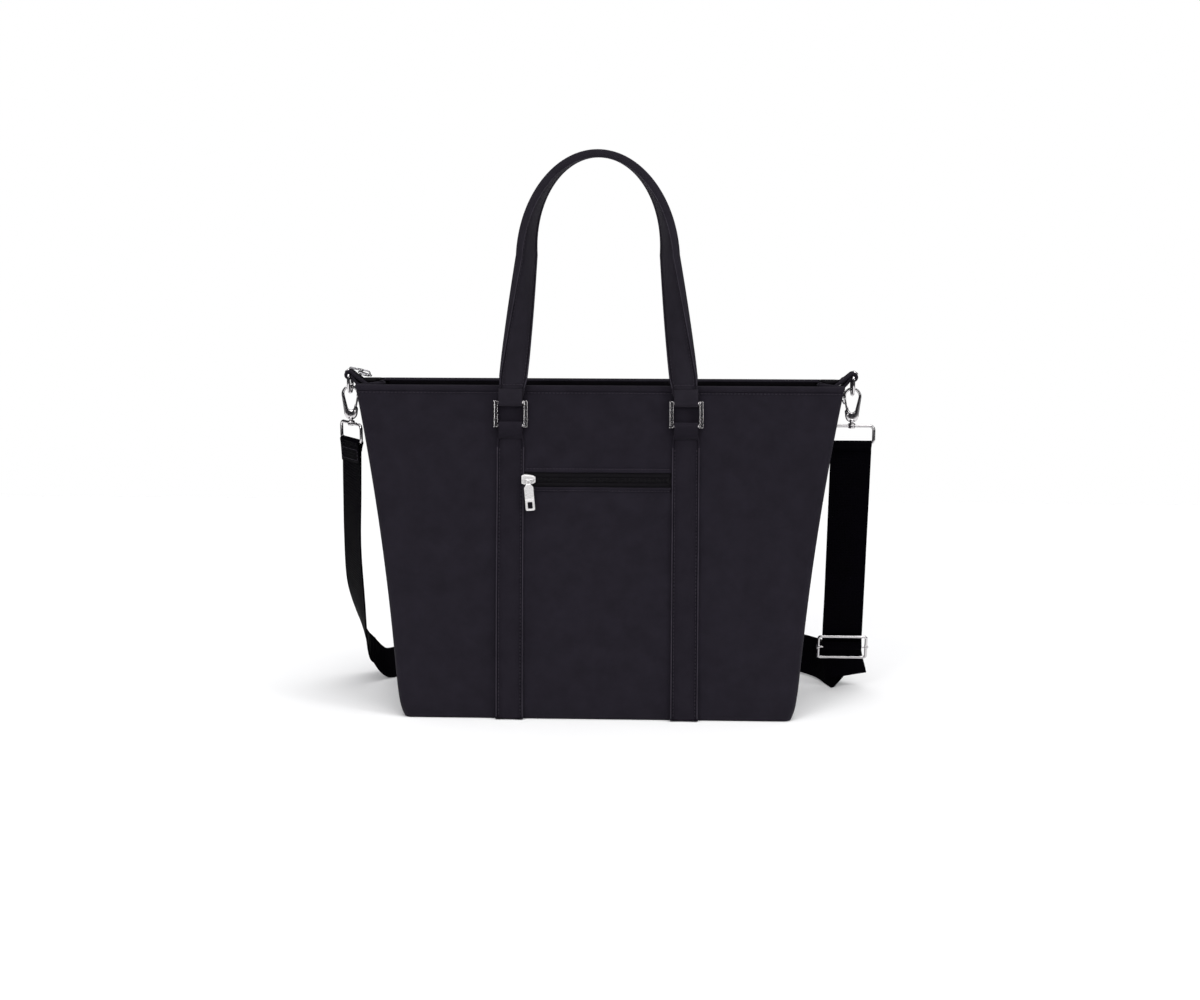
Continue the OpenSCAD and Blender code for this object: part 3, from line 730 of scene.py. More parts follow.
def handle_thick(z):
    """The padding thins out where the handle passes the rim."""
    return HANDLE_T * (0.66 + 0.34 * min(max((z - 16) / 26, 0), 1))


# half of a handle's section: share of the half width, share of the thickness
HANDLE_SIDE = [(1.0, 0.0), (1.0, 0.34), (0.965, 0.46), (0.91, 0.47), (0.875, 0.36), (0.855, 0.2),
               (0.83, 0.2),
               (0.79, 0.36), (0.4, 0.5), (0.0, 0.53)]
STITCH_FROM = 14


def handle_section(width, z):
    """Crowned strap with a corded edge on each side."""
    top = HANDLE_SIDE + [(-a, b) for a, b in reversed(HANDLE_SIDE[:-1])]
    under = [(-a, -b) for a, b in top[1:-1]]
    return [(a * width / 2, b * handle_thick(z)) for a, b in top + under]


def handle_loops(builder):
    """The ends turned round the ring's upper bar."""
    path = [(-2.1, 13.0), (-2.3, 6.5)]
    path += [(LOOP_R * math.cos(a), LOOP_R * math.sin(a)) for a in np.radians(np.linspace(170, 370, 21))]
    path += [(2.3, 6.5), (2.1, 13.0)]
    for s in (-1, 1):
        line = np.array([[s * (BAND_PITCH / 2 - 0.02 * z), y, z] for y, z in path])
        fr = ribbon_frames(line, [(1, 0, 0)] * len(line))
        ribbon(builder, fr, [strap_section(LOOP_W, LOOP_T, crown=0.05)] * len(fr))


def handle_edges(thread, frames, sections):
    """Stitches along both edges of both faces, and a light thread-coloured cord on each edge as a painted
    highlight.
    """
    stations = [(c, w, n, max(a for a, _ in sec)) for (c, w, n, _), sec in zip(frames, sections)
                if c[2] >= STITCH_FROM]
    for side in (-1, 1):
        for face in (-1, 1):
            row = [c + w * side * (h * 0.74) + n * face * (handle_thick(c[2]) * 0.39) for c, w, n,
                   h in stations]
            stitches(thread, row, [n * face for _, _, n, _ in stations])
            # the light cord is a painted highlight along the raised edge
            highlight_cord = [c + w * side * (h - 0.9) + n * face * (handle_thick(c[2]) * 0.45) for c, w, n,
                    h in stations]
            wire(thread, highlight_cord, PAINTED_HIGHLIGHT_CORD_R, sides=8)


def handle_cross_stitches(thread, z=17.0):
    for s in (-1, 1):
        for face in (-1, 1):
            line = [np.array([s * (BAND_PITCH / 2 - 0.1205 * z) + x, face * 2.55, z])
                    for x in np.linspace(-9.5, 9.5, 8)]
            stitches(thread, line, [(0, face, 0)] * len(line), pitch=3.0, length=2.1)


def build_handle(name, node, body, place):
    pts, across = handle_line()
    keep = pts[:, 2] > 4.5
    frames = ribbon_frames(pts[keep], across[keep])
    sections = []
    for c, _, _, _ in frames:
        k = min(1, max(0, (c[2] - 7) / 16.0))
        sections.append(handle_section(LOOP_W + (HANDLE_W - LOOP_W) * k, c[2]))
    b = Builder()
    ribbon(b, frames, sections)
    handle_loops(b)
    verts = np.array([place(np.array(v)) for v in b.verts])
    piece(name, verts, b.faces, body, HANDLE, (node,), b.uvs)
    thread = Builder()
    handle_edges(thread, frames, sections)
    handle_cross_stitches(thread)
    verts = np.array([place(np.array(v)) for v in thread.verts])
    piece(name + "_stitching", verts, thread.faces, body, THREAD, (), thread.uvs)


def place_front_handle(p):
    up = on_front(0, -RING_OUT, RING_UP + RING_PITCH)
    return p + up


def place_rear_handle(p):
    q = turn_about_x(p, np.zeros(3), REAR_HANDLE_TIP) + np.array([0, 0, RING_PITCH])
    return at_ring_rear(0)(q)


build_handle("handle_front_strap", "handle_front", "front_handle", place_front_handle)
build_handle("handle_rear_strap", "handle_rear", "rear_handle", place_rear_handle)


# =====================================================================
# More mesh helpers for small hardware
# =====================================================================
def egg(z_low, z_high, r_low, r_high, arc=14, line=12):
    """Outline in the XZ plane of two circles in one tight loop, anticlockwise from the bottom."""
    c_low, c_high = z_low + r_low, z_high - r_high
    tilt = -math.asin((r_high - r_low) / (c_high - c_low))
    right = [(r_low * math.cos(a), c_low + r_low * math.sin(a))
             for a in np.linspace(-math.pi / 2, tilt, arc)]
    start = right[-1]
    end = (r_high * math.cos(tilt), c_high + r_high * math.sin(tilt))
    right += [(start[0] + (end[0] - start[0]) * k, start[1] + (end[1] - start[1]) * k)
              for k in np.linspace(0, 1, line)[1:]]
    right += [(r_high * math.cos(a), c_high + r_high * math.sin(a))
              for a in np.linspace(tilt, math.pi / 2, arc + 4)[1:]]
    left = [(-x, z) for x, z in reversed(right[1:-1])]
    return np.array(right + left)


def rounded_rect(w, h, r, arc=6):
    """Outline of a rounded rectangle round the origin, anticlockwise from the bottom right corner."""
    pts = []
    for cx, cz, a0 in ((w / 2 - r, -h / 2 + r, -90), (w / 2 - r, h / 2 - r, 0), (-w / 2 + r, h / 2 - r, 90),
                       (-w / 2 + r, -h / 2 + r, 180)):
        for a in np.radians(np.linspace(a0, a0 + 90, arc)):
            pts.append((cx + r * math.cos(a), cz + r * math.sin(a)))
    return np.array(pts)


def loop_plate(builder, outer, inner, thick, transform, keep=None, soft=0.62):
    """A cast frame between two outlines, its edges rounded; keep = (first, last) leaves it open."""
    rings = []
    order = range(len(outer)) if keep is None else range(keep[0], keep[1])
    for k in order:
        o, i = np.asarray(outer[k % len(outer)]), np.asarray(inner[k % len(inner)])
        middle, arm = (o + i) / 2, (o - i) / 2
        ring = []
        for a in np.linspace(0, 2 * math.pi, 16, endpoint=False):
            ca, sa = math.cos(a), math.sin(a)
            u = math.copysign(abs(ca) ** soft, ca)
            v = math.copysign(abs(sa) ** soft, sa)
            p = middle + arm * u
            ring.append(transform(np.array([p[0], v * thick / 2, p[1]])))
        rings.append(ring)
    tube(builder, rings, closed=keep is None)


def lathe(builder, profile, transform, sides=24):
    """Turned piece: profile of (radius, height) round the z axis."""
    rings = []
    for r, z in profile:
        rings.append([transform(np.array([r * math.cos(a), r * math.sin(a), z]))
                      for a in np.linspace(0, 2 * math.pi, sides, endpoint=False)])
    tube(builder, rings)


# =====================================================================
# Zips
# =====================================================================
def coil_row(builder, start, end, out, toward, pitch=1.25, reach=2.0, r=0.42):
    """Nylon coil: one bent loop of wire per tooth, along a straight line."""
    start, end, out, toward = (np.asarray(v, float) for v in (start, end, out, toward))
    run = np.linalg.norm(end - start)
    along = (end - start) / run
    for k in range(int(run / pitch)):
        c = start + along * (k + 0.5) * pitch
        path = [c - toward * reach * 0.55 + out * 0.15, c - toward * reach * 0.3 + out * 0.55,
                c + toward * reach * 0.3 + out * 0.6, c + toward * reach * 0.5 + out * 0.25]
        wire(builder, path, [r * 0.8, r, r * 1.05, r * 0.8], sides=6, up=along)


def slider_mesh(builder, transform):
    """Zip slider lying along X on a chain in the XY plane, its top towards +Z."""
    rings = []
    for x, w in ((-6.4, 2.3), (-6.0, 2.9), (-4, 3.2), (0, 3.7), (3, 4.3), (5.2, 4.3), (6.2, 3.9),
                 (6.5, 3.2)):
        ring = []
        for a in np.linspace(0, 2 * math.pi, 20, endpoint=False):
            ca, sa = math.cos(a), math.sin(a)
            ring.append(transform(np.array([x, w * math.copysign(abs(ca) ** 0.45, ca),
                                            1.95 + 0.75 * math.copysign(abs(sa) ** 0.6, sa)])))
        rings.append(ring)
    tube(builder, rings)
    for s in (-1, 1):
        path = [(-4.6, s * 3.1, 1.6), (0, s * 3.8, 1.1), (4.8, s * 4.3, 1.0)]
        wire(builder, [transform(np.array(p, float)) for p in path], 0.75, sides=10)
    bridge = [(-4.4, 0, 2.4), (-4.2, 0, 3.9), (-2.8, 0, 5.0), (0, 0, 5.3), (2.2, 0, 4.9), (3.4, 0, 3.8),
              (3.6, 0, 2.4)]
    wire(builder, smooth_path([transform(np.array(p, float)) for p in bridge], 4), 0.75, sides=12)


def pull_mesh(builder, length, width, transform):
    """Flat pull hanging along -Z from the origin, with an eye at its top and a window near its tip."""
    eye = [(1.7 * math.cos(a), 0, 1.7 * math.sin(a))
           for a in np.linspace(0, 2 * math.pi, 20, endpoint=False)]
    wire(builder, [transform(np.array(p)) for p in eye], 0.55, sides=10, closed=True, up=(0, 1, 0.01))
    window_z, frame_h, thick = -length + 4.9, 9.8, 1.3
    outer = rounded_rect(width, frame_h, 1.6) + np.array([0, window_z])
    inner = rounded_rect(width * 0.52, frame_h * 0.62, 0.6) + np.array([0, window_z])
    loop_plate(builder, outer, inner, thick, transform, soft=0.35)
    low = window_z + frame_h / 2 - 1.0
    rings = []
    for z in np.concatenate([np.linspace(low, -4.6, 6), [-3.6, -2.6, -1.5]]):
        w = width * min(1.0, 0.42 + 0.58 * (-1.5 - z) / 3.1)
        rings.append([transform(np.array([a, b, z])) for a,
                      b in strap_section(w, thick, sides=14, edge=0.35)])
    tube(builder, rings)


# sections across the pocket's opening: height from the chain, depth from the panel
POCKET_TAPE = ((-7, -0.2), (-6.9, -0.65), (-3.2, -0.75), (-2.6, -0.45), (0, -0.4), (2.6, -0.45),
               (3.2, -0.75),
               (6.9, -0.65), (7, -0.2), (0, 0.2))
POCKET_WELT = ((10.4, 0.1), (10.4, -0.5), (9.4, -0.95), (8.3, -1.6), (7.4, -1.95), (6.6, -1.8), (6.1, -1.2),
               (6.3, -0.7), (6.8, -0.4), (8.0, 0.1))
CHAIN_OUT = -0.9
PULL_SLANT = 0.09


def pocket_tape_and_coil(half):
    out, up = front_axes()
    tape = Builder()
    tube(tape, [[on_front(x, y - 0.15, ZIP_UP + z) for z, y in POCKET_TAPE]
                for x in np.linspace(-half, half, 60)])
    tape.piece("pocket_zip_cloth", "bag", TAPE, "zip_tape", ("pocket_zip_tape",))
    coil = Builder()
    for s in (-1, 1):
        start, end = [on_front(x, CHAIN_OUT, ZIP_UP + s * 0.75) for x in (-half + 1, half - 1)]
        coil_row(coil, start, end, out, -s * up)
    coil.piece("pocket_zip_coil", "bag", COIL, "coil", ("pocket_zip_teeth",))


def pocket_welts(half):
    out, _ = front_axes()
    welts, thread = Builder(), Builder()
    for s in (-1, 1):
        rings = []
        for x in np.linspace(-half - 0.5, half + 0.5, 60):
            bow = 0.25 * math.sin(x * 0.09 + s)
            ring = [on_front(x, y, ZIP_UP + s * (z + 0.6 + bow * 0.3)) for z, y in POCKET_WELT]
            rings.append(ring if s > 0 else ring[::-1])
        tube(welts, rings)
        line = np.array([on_front(x, -1.0, ZIP_UP + s * 10.0)
                         for x in np.linspace(-half + 1, half - 1, 40)])
        stitches(thread, line, [out] * len(line), pitch=3.0, length=2.1)
    welts.piece("pocket_zip_edges", "bag", SHELL, "shell_cloth", ("pocket_zip_welts",))
    thread.piece("pocket_stitching", "bag", THREAD, "band_cloth")


def pocket_slider_and_pull():
    def on_chain(p):
        # the slider's own x runs to the open end, on the right
        return on_front(POCKET_SLIDER_X - p[0], CHAIN_OUT - p[2], ZIP_UP + p[1])

    def hang(p):
        # it hangs a little to the right of straight down
        return on_front(POCKET_SLIDER_X + p[0] - PULL_SLANT * p[2], -7.0 + p[1],
                        ZIP_UP - 2.6 + p[2] + PULL_SLANT * p[0])
    b = Builder()
    slider_mesh(b, on_chain)
    b.piece("pocket_slider_metal", "pocket_slider", NICKEL_SATIN, "nickel", ("pocket_zip_slider",))
    b = Builder()
    pull_mesh(b, 26.0, 8.6, hang)
    b.piece("pocket_pull_metal", "pocket_pull", NICKEL_SATIN, "nickel", ("pocket_zip_pull",))


def make_pocket_zip():
    pocket_tape_and_coil(ZIP_L / 2)
    pocket_welts(ZIP_L / 2)
    pocket_slider_and_pull()


FLAP_RISE = math.radians(12)
FLAP_L = FLAP_Y - 0.15
CHAIN_Z = FLAP_Z + FLAP_L * math.sin(FLAP_RISE)
TOP_SLIDER_X = -222.0


def make_flap(label, s):
    body = "top_flap_" + label
    half = TOP_ZIP_L / 2
    cloth = Builder()
    rings = []
    for x in np.linspace(-half, half, 130):
        sway = 0.55 * noise.noise(Vector((x * 0.03, s * 3.0, 0.5)))
        ring = []
        for d, t in ((0.4, 0.5), (4, 0.75), (9, 0.8), (13, 0.75), (15.8, 0.9), (16.6, 0.7), (16.6, -0.7),
                     (15.8, -0.9), (13, -0.75), (9, -0.8), (4, -0.75), (0.4, -0.5)):
            k = math.sin(min(d, 16) / 16 * math.pi)
            ring.append((x, s * FLAP_Y + t + sway * k, FLAP_Z - d))
        rings.append(ring)
    tube(cloth, rings)
    cloth.piece("zip_flap_" + label, body, LINING, "lining_cloth", ("zip_panel_" + label,))
    tape = Builder()
    rings = [[(x, s * FLAP_Y + t, FLAP_Z - d) for d, t in
              ((14.5, 0.35), (23.5, 0.42), (FLAP_L - 1.1, 0.3), (FLAP_L - 1.1, -0.3), (23.5, -0.42),
               (14.5, -0.35))]
             for x in np.linspace(-half, half, 90)]
    tube(tape, rings)
    tape.piece("zip_tape_" + label, body, TAPE, "zip_tape", ("top_zip_tape_" + label,))
    teeth = Builder()
    z = FLAP_Z - FLAP_L + 1.1
    coil_row(teeth, (-half + 1, s * FLAP_Y - 0.35, z), (half - 1, s * FLAP_Y - 0.35, z), (0, 1, 0),
             (0, 0, -1),
             pitch=2.2, reach=1.9, r=0.55)
    teeth.piece("zip_coil_" + label, body, COIL, "coil", ("top_zip_teeth_" + label,))
    thread = Builder()
    for face in (-1, 1):
        line = [(x, s * FLAP_Y + face * 0.95, FLAP_Z - 15.6) for x in np.linspace(-half + 2, half - 2, 60)]
        stitches(thread, line, [(0, face, 0)] * len(line), pitch=3.4)
    thread.piece("zip_flap_stitching_" + label, body, THREAD, "lining_cloth")


def make_top_slider():
    tilt = math.radians(18)

    def on_tail(p):
        x, z = -p[0], p[2] - 1.0
        return np.array([TOP_SLIDER_X + x * math.cos(tilt) + z * math.sin(tilt), p[1],
                         CHAIN_Z + 3.2 - x * math.sin(tilt) + z * math.cos(tilt)])
    b = Builder()
    slider_mesh(b, on_tail)
    b.piece("top_slider_metal", "top_slider", NICKEL_DARK, "nickel", ("top_zip_slider",))
    b = Builder()
    lay = math.radians(100)

    def hang(p):
        # the pull's own -z points back over the tape's end and up
        x, z = p[0], p[2]
        return np.array([TOP_SLIDER_X + 0.5 + z * math.sin(lay), x,
                         CHAIN_Z + 7.2 + z * math.cos(lay) + p[1]])
    pull_mesh(b, 15.0, 7.0, hang)
    b.piece("top_pull_metal", "top_pull", NICKEL_DARK, "nickel", ("top_zip_pull",))


def make_tails():
    for label, s in (("left", -1), ("right", 1)):
        b = Builder()
        rings = []
        for x, z, w, drop in ((204.5, -0.3, 4.2, 0.6), (208, 0, 4.1, 1.6), (213, 0, 4, 4.2),
                              (219, 0, 3.9, 3.6),
                              (224, -0.2, 3.7, 1.6), (224.7, -0.4, 3.2, 0.8)):
            rings.append([(s * x, a * w, CHAIN_Z + z + b_) for a, b_ in
                          ((-1, -drop), (-1, 0.3), (-0.4, 0.45), (0.4, 0.45), (1, 0.3), (1, -drop),
                           (0, -drop - 0.2))])
        tube(b, rings if s < 0 else [r[::-1] for r in rings])
        b.piece("zip_end_%s" % label, "bag", TAPE, "zip_tape", ("zip_tail_%s" % label,))


make_pocket_zip()
make_flap("front", -1)
make_flap("rear", 1)
make_top_slider()
make_tails()


# =====================================================================
# Side tabs, rings and snap hooks
# =====================================================================
def make_side_tab(label, s):
    x0, z0 = SIDE_X, SIDE_RING_Z
    r = 3.05
    path = [(212.5, 299.5), (216.5, 302.2), (223, 306.9), (229.5, 311.6)]
    path += [(x0 + r * math.cos(a), z0 + r * math.sin(a)) for a in np.radians(np.linspace(125, -150, 22))]
    path += [(229.5, 306.2), (224, 301.6), (218, 297.4), (214, 294.6)]
    line = smooth_path([(s * x, 0, z) for x, z in path], 3)
    fr = ribbon_frames(line, [(0, 1, 0)] * len(line))
    b = Builder()
    ribbon(b, fr, [strap_section(15.6, 2.9, crown=0.1)] * len(fr))
    b.piece("side_tab_%s_cloth" % label, "bag", BAND, "band_cloth", ("side_tab_%s" % label,))
    thread = Builder()
    for side in (-1, 1):
        line = [(s * x, side * 6.2, z + 0.45) for x,
                z in ((215, 302.6), (218, 304.7), (223, 308.2), (228, 311.9))]
        n = unit((s * -0.56, 0, 0.83))
        stitches(thread, line, [n] * len(line), pitch=3.2, lift=0.05)
    thread.piece("side_tab_%s_stitching" % label, "bag", THREAD, "band_cloth")


def make_rivets():
    b = Builder()
    for s in (-1, 1):
        n = np.array([s * 0.545, 0, 0.839])
        t = np.array([s * 0.839, 0, -0.545])
        c = np.array([s * SIDE_X, 0, SIDE_RING_Z]) + n * 3.9

        def place(p, c=c, n=n, t=t):
            return c + t * p[0] + np.array([0, 1, 0]) * p[1] + n * p[2]
        lathe(b, [(0.05, 1.5), (1.6, 1.45), (2.5, 1.15), (3.0, 0.6), (3.1, 0.1), (2.6, -0.4),
                  (0.05, -0.4)][::-1], place)
    b.piece("tab_rivet_caps", "bag", NICKEL, "nickel", ("tab_rivets",))


def make_d_ring(label, s):
    r, drop = 10.0, BOW_DROP - 10.0
    path = [(0, y, 0) for y in np.linspace(-r + 1.2, r - 1.2, 7)]
    path += [(0, r - 0.35, -0.35), (0, r, -1.2)]
    path += [(0, r, -z) for z in np.linspace(2.5, drop, 4)]
    path += [(0, r * math.cos(a), -drop - r * math.sin(a)) for a in np.linspace(0, math.pi, 27)[1:-1]]
    path += [(0, -r, -z) for z in np.linspace(drop, 2.5, 4)]
    path += [(0, -r, -1.2), (0, -r + 0.35, -0.35)]
    line = np.array(path) + np.array([s * SIDE_X, 0, SIDE_RING_Z])
    b = Builder()
    wire(b, line, 1.5, sides=16, closed=True, up=(1, 0, 0.001))
    b.piece("side_ring_%s_metal" % label, "side_ring_%s" % label, NICKEL, "nickel", ("d_ring_%s" % label,))


HOOK_CROWN = SIDE_RING_Z - BOW_DROP + 1.5 + 2.8 + 2.6
HOOK_H, HOOK_W, HOOK_WALL, HOOK_T = 33.0, 17.0, 2.6, 3.5
HOOK_LOW = HOOK_CROWN - HOOK_H
EYE_TOP = HOOK_LOW - 3.2
EYE_PITCH, EYE_IN, EYE_R = 17.0, 38.6, 1.5
EYE_LOW = EYE_TOP - EYE_PITCH


def make_hook(label, s):
    outer = egg(HOOK_LOW, HOOK_CROWN, 6.2, HOOK_W / 2)
    inner = egg(HOOK_LOW + 9.5, HOOK_CROWN - HOOK_WALL, 3.2, HOOK_W / 2 - HOOK_WALL)
    n = len(outer)

    def place(p):
        return np.array([s * (SIDE_X + p[0]), p[1], p[2]])
    # the gate side is the one towards the bag: leave it open between the nose and the pivot
    gate_top = next(k for k in range(n // 2, n) if outer[k][1] < HOOK_CROWN - 11.5)
    gate_low = next(k for k in range(gate_top, n) if outer[k][1] < HOOK_LOW + 10.5)
    b = Builder()
    loop_plate(b, outer, inner, HOOK_T, place, keep=(gate_low - n, gate_top))
    lathe(b, [(0.05, -5.6), (2.1, -5.5), (2.6, -4.9), (2.6, -4.2), (1.75, -3.9), (1.75, 0.2), (2.7, 0.9),
              (2.9, 2.2),
              (1.4, 3.4), (0.05, 3.6)], lambda p: place(p + np.array([0, 0, HOOK_LOW])))
    lathe(b, [(0.05, -2.1), (0.95, -2.0), (1.25, -1.75), (1.25, 1.75), (0.95, 2.0), (0.05, 2.1)],
          lambda p: place(np.array([-4.4 + p[0], p[2] * 1.05, HOOK_LOW + 8.2 + p[1]])), sides=14)
    b.piece("hook_%s_metal" % label, "hook_%s" % label, NICKEL, "nickel", ("hook_body_%s" % label,))
    g = Builder()
    k0, k1 = gate_top - 1, gate_low
    path = [(outer[k] * 0.42 + inner[k] * 0.58) for k in range(k0, k1 + 1)]
    path = [np.array([p[0], 0, p[1]]) for p in path]
    wire(g, [place(p) for p in path], [(0.85, 1.15)] * len(path), sides=12, up=(0, 1, 0))
    lever = [(-6.9, 0, HOOK_LOW + 17.5), (-7.9, 0, HOOK_LOW + 18.3), (-8.7, 0, HOOK_LOW + 19.9),
             (-8.8, 0, HOOK_LOW + 21.2)]
    wire(g, smooth_path([place(np.array(p, float)) for p in lever], 4), 0.75, sides=10)
    g.piece("gate_%s_metal" % label, "gate_%s" % label, NICKEL_DARK, "nickel", ("hook_gate_%s" % label,))


def make_eye(label, s, turn):
    c, d = math.cos(turn), math.sin(turn)

    def place(p):
        return np.array([s * SIDE_X + p[0] * c - p[1] * d, p[0] * d + p[1] * c, p[2]])
    w, h = EYE_IN + 2 * EYE_R, EYE_PITCH
    path = rounded_rect(w, h, 4.2, arc=8) + np.array([0, (EYE_TOP + EYE_LOW) / 2])
    extra = []
    for k in range(len(path)):
        a, q = path[k], path[(k + 1) % len(path)]
        steps = max(1, int(np.linalg.norm(q - a) / 3))
        extra += [a + (q - a) * m / steps for m in range(steps)]
    b = Builder()
    wire(b, [place(np.array([p[0], 0, p[1]])) for p in extra], EYE_R, sides=16, closed=True)
    collar = [(1.9, 2.4), (2.8, 2.4), (3.3, 2.0), (3.4, 0.9), (3.0, 0.2), (3.4, -0.6), (3.3, -1.9),
              (2.7, -2.3),
              (1.9, -2.3)]
    turns = np.linspace(0, 2 * math.pi, 24, endpoint=False)
    tube(b, [[place(np.array([r * math.cos(a), r * math.sin(a), z + EYE_TOP])) for r, z in collar]
             for a in turns],
         closed=True)
    b.piece("hook_eye_%s_metal" % label, "shoulder_strap", NICKEL, "nickel", ("hook_eye_%s" % label,))


for label, s in (("left", -1), ("right", 1)):
    make_side_tab(label, s)
    make_d_ring(label, s)
    make_hook(label, s)
make_rivets()
make_eye("left", -1, math.radians(-54))
make_eye("right", 1, 0.0)


# =====================================================================
# Shoulder strap: one length of ribbed webbing with its adjuster
# =====================================================================
RUN_TOP = np.array([SIDE_X, 0, EYE_LOW])
RUN_LOW = np.array([235.5, 46.0, 42.0])
RUN_DIR = unit(RUN_LOW - RUN_TOP)
RUN_L = float(np.linalg.norm(RUN_LOW - RUN_TOP))
RUN_N = unit(np.cross((1, 0, 0), RUN_DIR))
if RUN_N[1] > 0:
    RUN_N = -RUN_N
LAYER = WEB_T / 2 + 0.15
SLIDER_AT = RUN_L - 2.0


def turn_down(degrees):
    return (math.cos(math.radians(degrees)), math.sin(math.radians(degrees)), 0)


LEFT_RUN = [((-236, 1, EYE_LOW - 3), turn_down(-54)), ((-238, 8, 200), turn_down(-55)),
            ((-240.5, 18, 150), turn_down(-57)), ((-241, 32, 100), (0.55, -0.82, -0.12)),
            ((-239, 50, 62), (0.36, -0.91, -0.2)), ((-233, 61, 34), (0.14, -0.9, -0.4)),
            ((-228, 65.5, 27.5), (0.12, -0.89, -0.42))]
FLOOR_RUN = [((-233, 61, 34), (0.14, -0.9, -0.4)), ((-217, 77, 12), (0.05, -0.85, -0.48)),
             ((-188, 106, 12.5), (0, -0.82, -0.54)), ((-140, 140, 15), (0, -0.75, -0.66)),
             ((-75, 162, 16), (0, -0.7, -0.71)), ((0, 170, 17), (0, -0.6, -0.8)),
             ((75, 166, 18), (0, -0.5, -0.86)), ((140, 148, 19), (-0.1, -0.4, -0.91)),
             ((185, 120, 19.5), (-0.2, -0.3, -0.93)), ((212, 92, 19.5), (-0.25, -0.15, -0.95)),
             ((225, 70, 18.5), (-0.35, -0.05, -0.93)), ((240, 52.5, 12.5), (-0.85, 0, -0.53))]


def webbing_section(width, thick=WEB_T):
    """Flat weave with a thicker selvedge at each edge."""
    h, t = width / 2, thick / 2
    top = [(1.0, 0.0), (1.0, 0.55), (0.985, 0.95), (0.955, 1.12), (0.92, 0.92), (0.8, 0.9), (0.4, 0.95),
           (0.0, 0.97)]
    top += [(-a, b) for a, b in reversed(top[:-1])]
    under = [(-a, -b) for a, b in top[1:-1]]
    return [(a * h, b * t) for a, b in top + under]


def web_ribbon(builder, points, width=WEB_W, per=8, widths=None):
    """Webbing through (place, width direction) points; returns its length."""
    data = smooth_path([tuple(p) + tuple(w) for p, w in points], per)
    fr = ribbon_frames(data[:, :3], data[:, 3:])
    if widths is None:
        secs = [webbing_section(width)] * len(fr)
    else:
        ws = np.interp(np.linspace(0, 1, len(fr)), np.linspace(0, 1, len(widths)), widths)
        secs = [webbing_section(w) for w in ws]
    rings = np.array([[c + w * a + n * b for a, b in sec] for (c, w, n, _), sec in zip(fr, secs)])
    # webbing that reaches the floor lies on it
    rings[:, :, 2] = np.maximum(rings[:, :, 2], 0.2 + 0.3 * np.clip(rings[:, :, 2] + 3.0, 0, 3) / 3)
    tube(builder, rings)
    return float(np.linalg.norm(np.diff(data[:, :3], axis=0), axis=1).sum()), fr


def loop_path(centre, across, down, start_out, end_out, radius, start_down, end_down):
    """Path of webbing that comes up on one side of a bar, turns over it and goes down the other."""
    out = np.cross(across, down)
    path = [centre + out * start_out + down * start_down,
            centre + out * (start_out * 0.7 + radius * 0.3) + down * 4.5]
    for a in np.linspace(math.radians(-20), math.radians(200), 17):
        path.append(centre + out * radius * math.cos(a) - down * radius * math.sin(a))
    path += [centre + out * (end_out * 0.7 - radius * 0.3) + down * 4.5,
             centre + out * end_out + down * end_down]
    return path


TURN_R = EYE_R + WEB_T / 2 + 0.15
LEFT_GAP = 1.9


def web_turn(builder, turn, across):
    """Webbing laid along a turn round a bar; returns its length."""
    fr = ribbon_frames(turn, [across] * len(turn))
    ribbon(builder, fr, [webbing_section(WEB_W)] * len(fr))
    return float(np.linalg.norm(np.diff(np.array(turn), axis=0), axis=1).sum())


def sewn_end(bar, across, down):
    """Box of stitches through the folded end of the left run."""
    thread = Builder()
    out = np.cross(-across, down)
    face = bar + out * (LEFT_GAP + WEB_T / 2)
    lines = [[face + down * d + across * x for x in np.linspace(-16, 16, 10)] for d in (7, 17)]
    lines += [[face + down * d + across * x for d in np.linspace(7, 17, 5)] for x in (-16, 16)]
    for line in lines:
        stitches(thread, line, [out] * len(line), pitch=2.8, length=2.0)
    thread.piece("strap_left_stitching", "shoulder_strap", THREAD, "webbing")


def left_web():
    """Left run, with its end folded over the eye and sewn down in front."""
    left = Builder()
    length, _ = web_ribbon(left, LEFT_RUN)
    across = unit(turn_down(-54))
    bar = np.array([-SIDE_X, 0, EYE_LOW])
    down = unit(np.array(LEFT_RUN[1][0]) - np.array(LEFT_RUN[0][0]))
    down = unit(down - across * np.dot(down, across))
    turn_l = web_turn(left, loop_path(bar, -across, down, LEFT_GAP, -0.2, TURN_R, 20, 8), across)
    obj = left.piece("strap_left_web", "shoulder_strap", WEBBING, "webbing", ("strap_left",))
    sewn_end(bar, across, down)


def floor_web():
    """The run that lies behind the bag."""
    web = Builder()
    length, _ = web_ribbon(web, FLOOR_RUN, widths=[WEB_W] * 11 + [43])
    obj = web.piece("strap_floor_web", "shoulder_strap", WEBBING, "webbing", ("strap_floor",))


def right_web():
    """Back layer of the right run, from the adjuster up and over the eye."""
    right = Builder()
    back = -RUN_N * LAYER
    pts = [(RUN_TOP + RUN_DIR * 7 + back, (1, 0, 0))]
    pts += [(RUN_TOP + RUN_DIR * RUN_L * share + back, (1, 0, 0)) for share in (0.35, 0.7, 1)]
    pts.append((np.array([240, 50.5, 11.5]), (0.868, 0, 0.496)))
    length, _ = web_ribbon(right, pts, widths=[WEB_W] * 4 + [42])
    side = -LAYER if np.dot(np.cross((1, 0, 0), RUN_DIR), RUN_N) < 0 else LAYER
    turn = loop_path(RUN_TOP, np.array([1.0, 0, 0]), RUN_DIR, side, -side, TURN_R, 8, 8)
    turn_l = web_turn(right, turn, (1, 0, 0))
    obj = right.piece("strap_right_web", "shoulder_strap", WEBBING, "webbing", ("strap_right",))


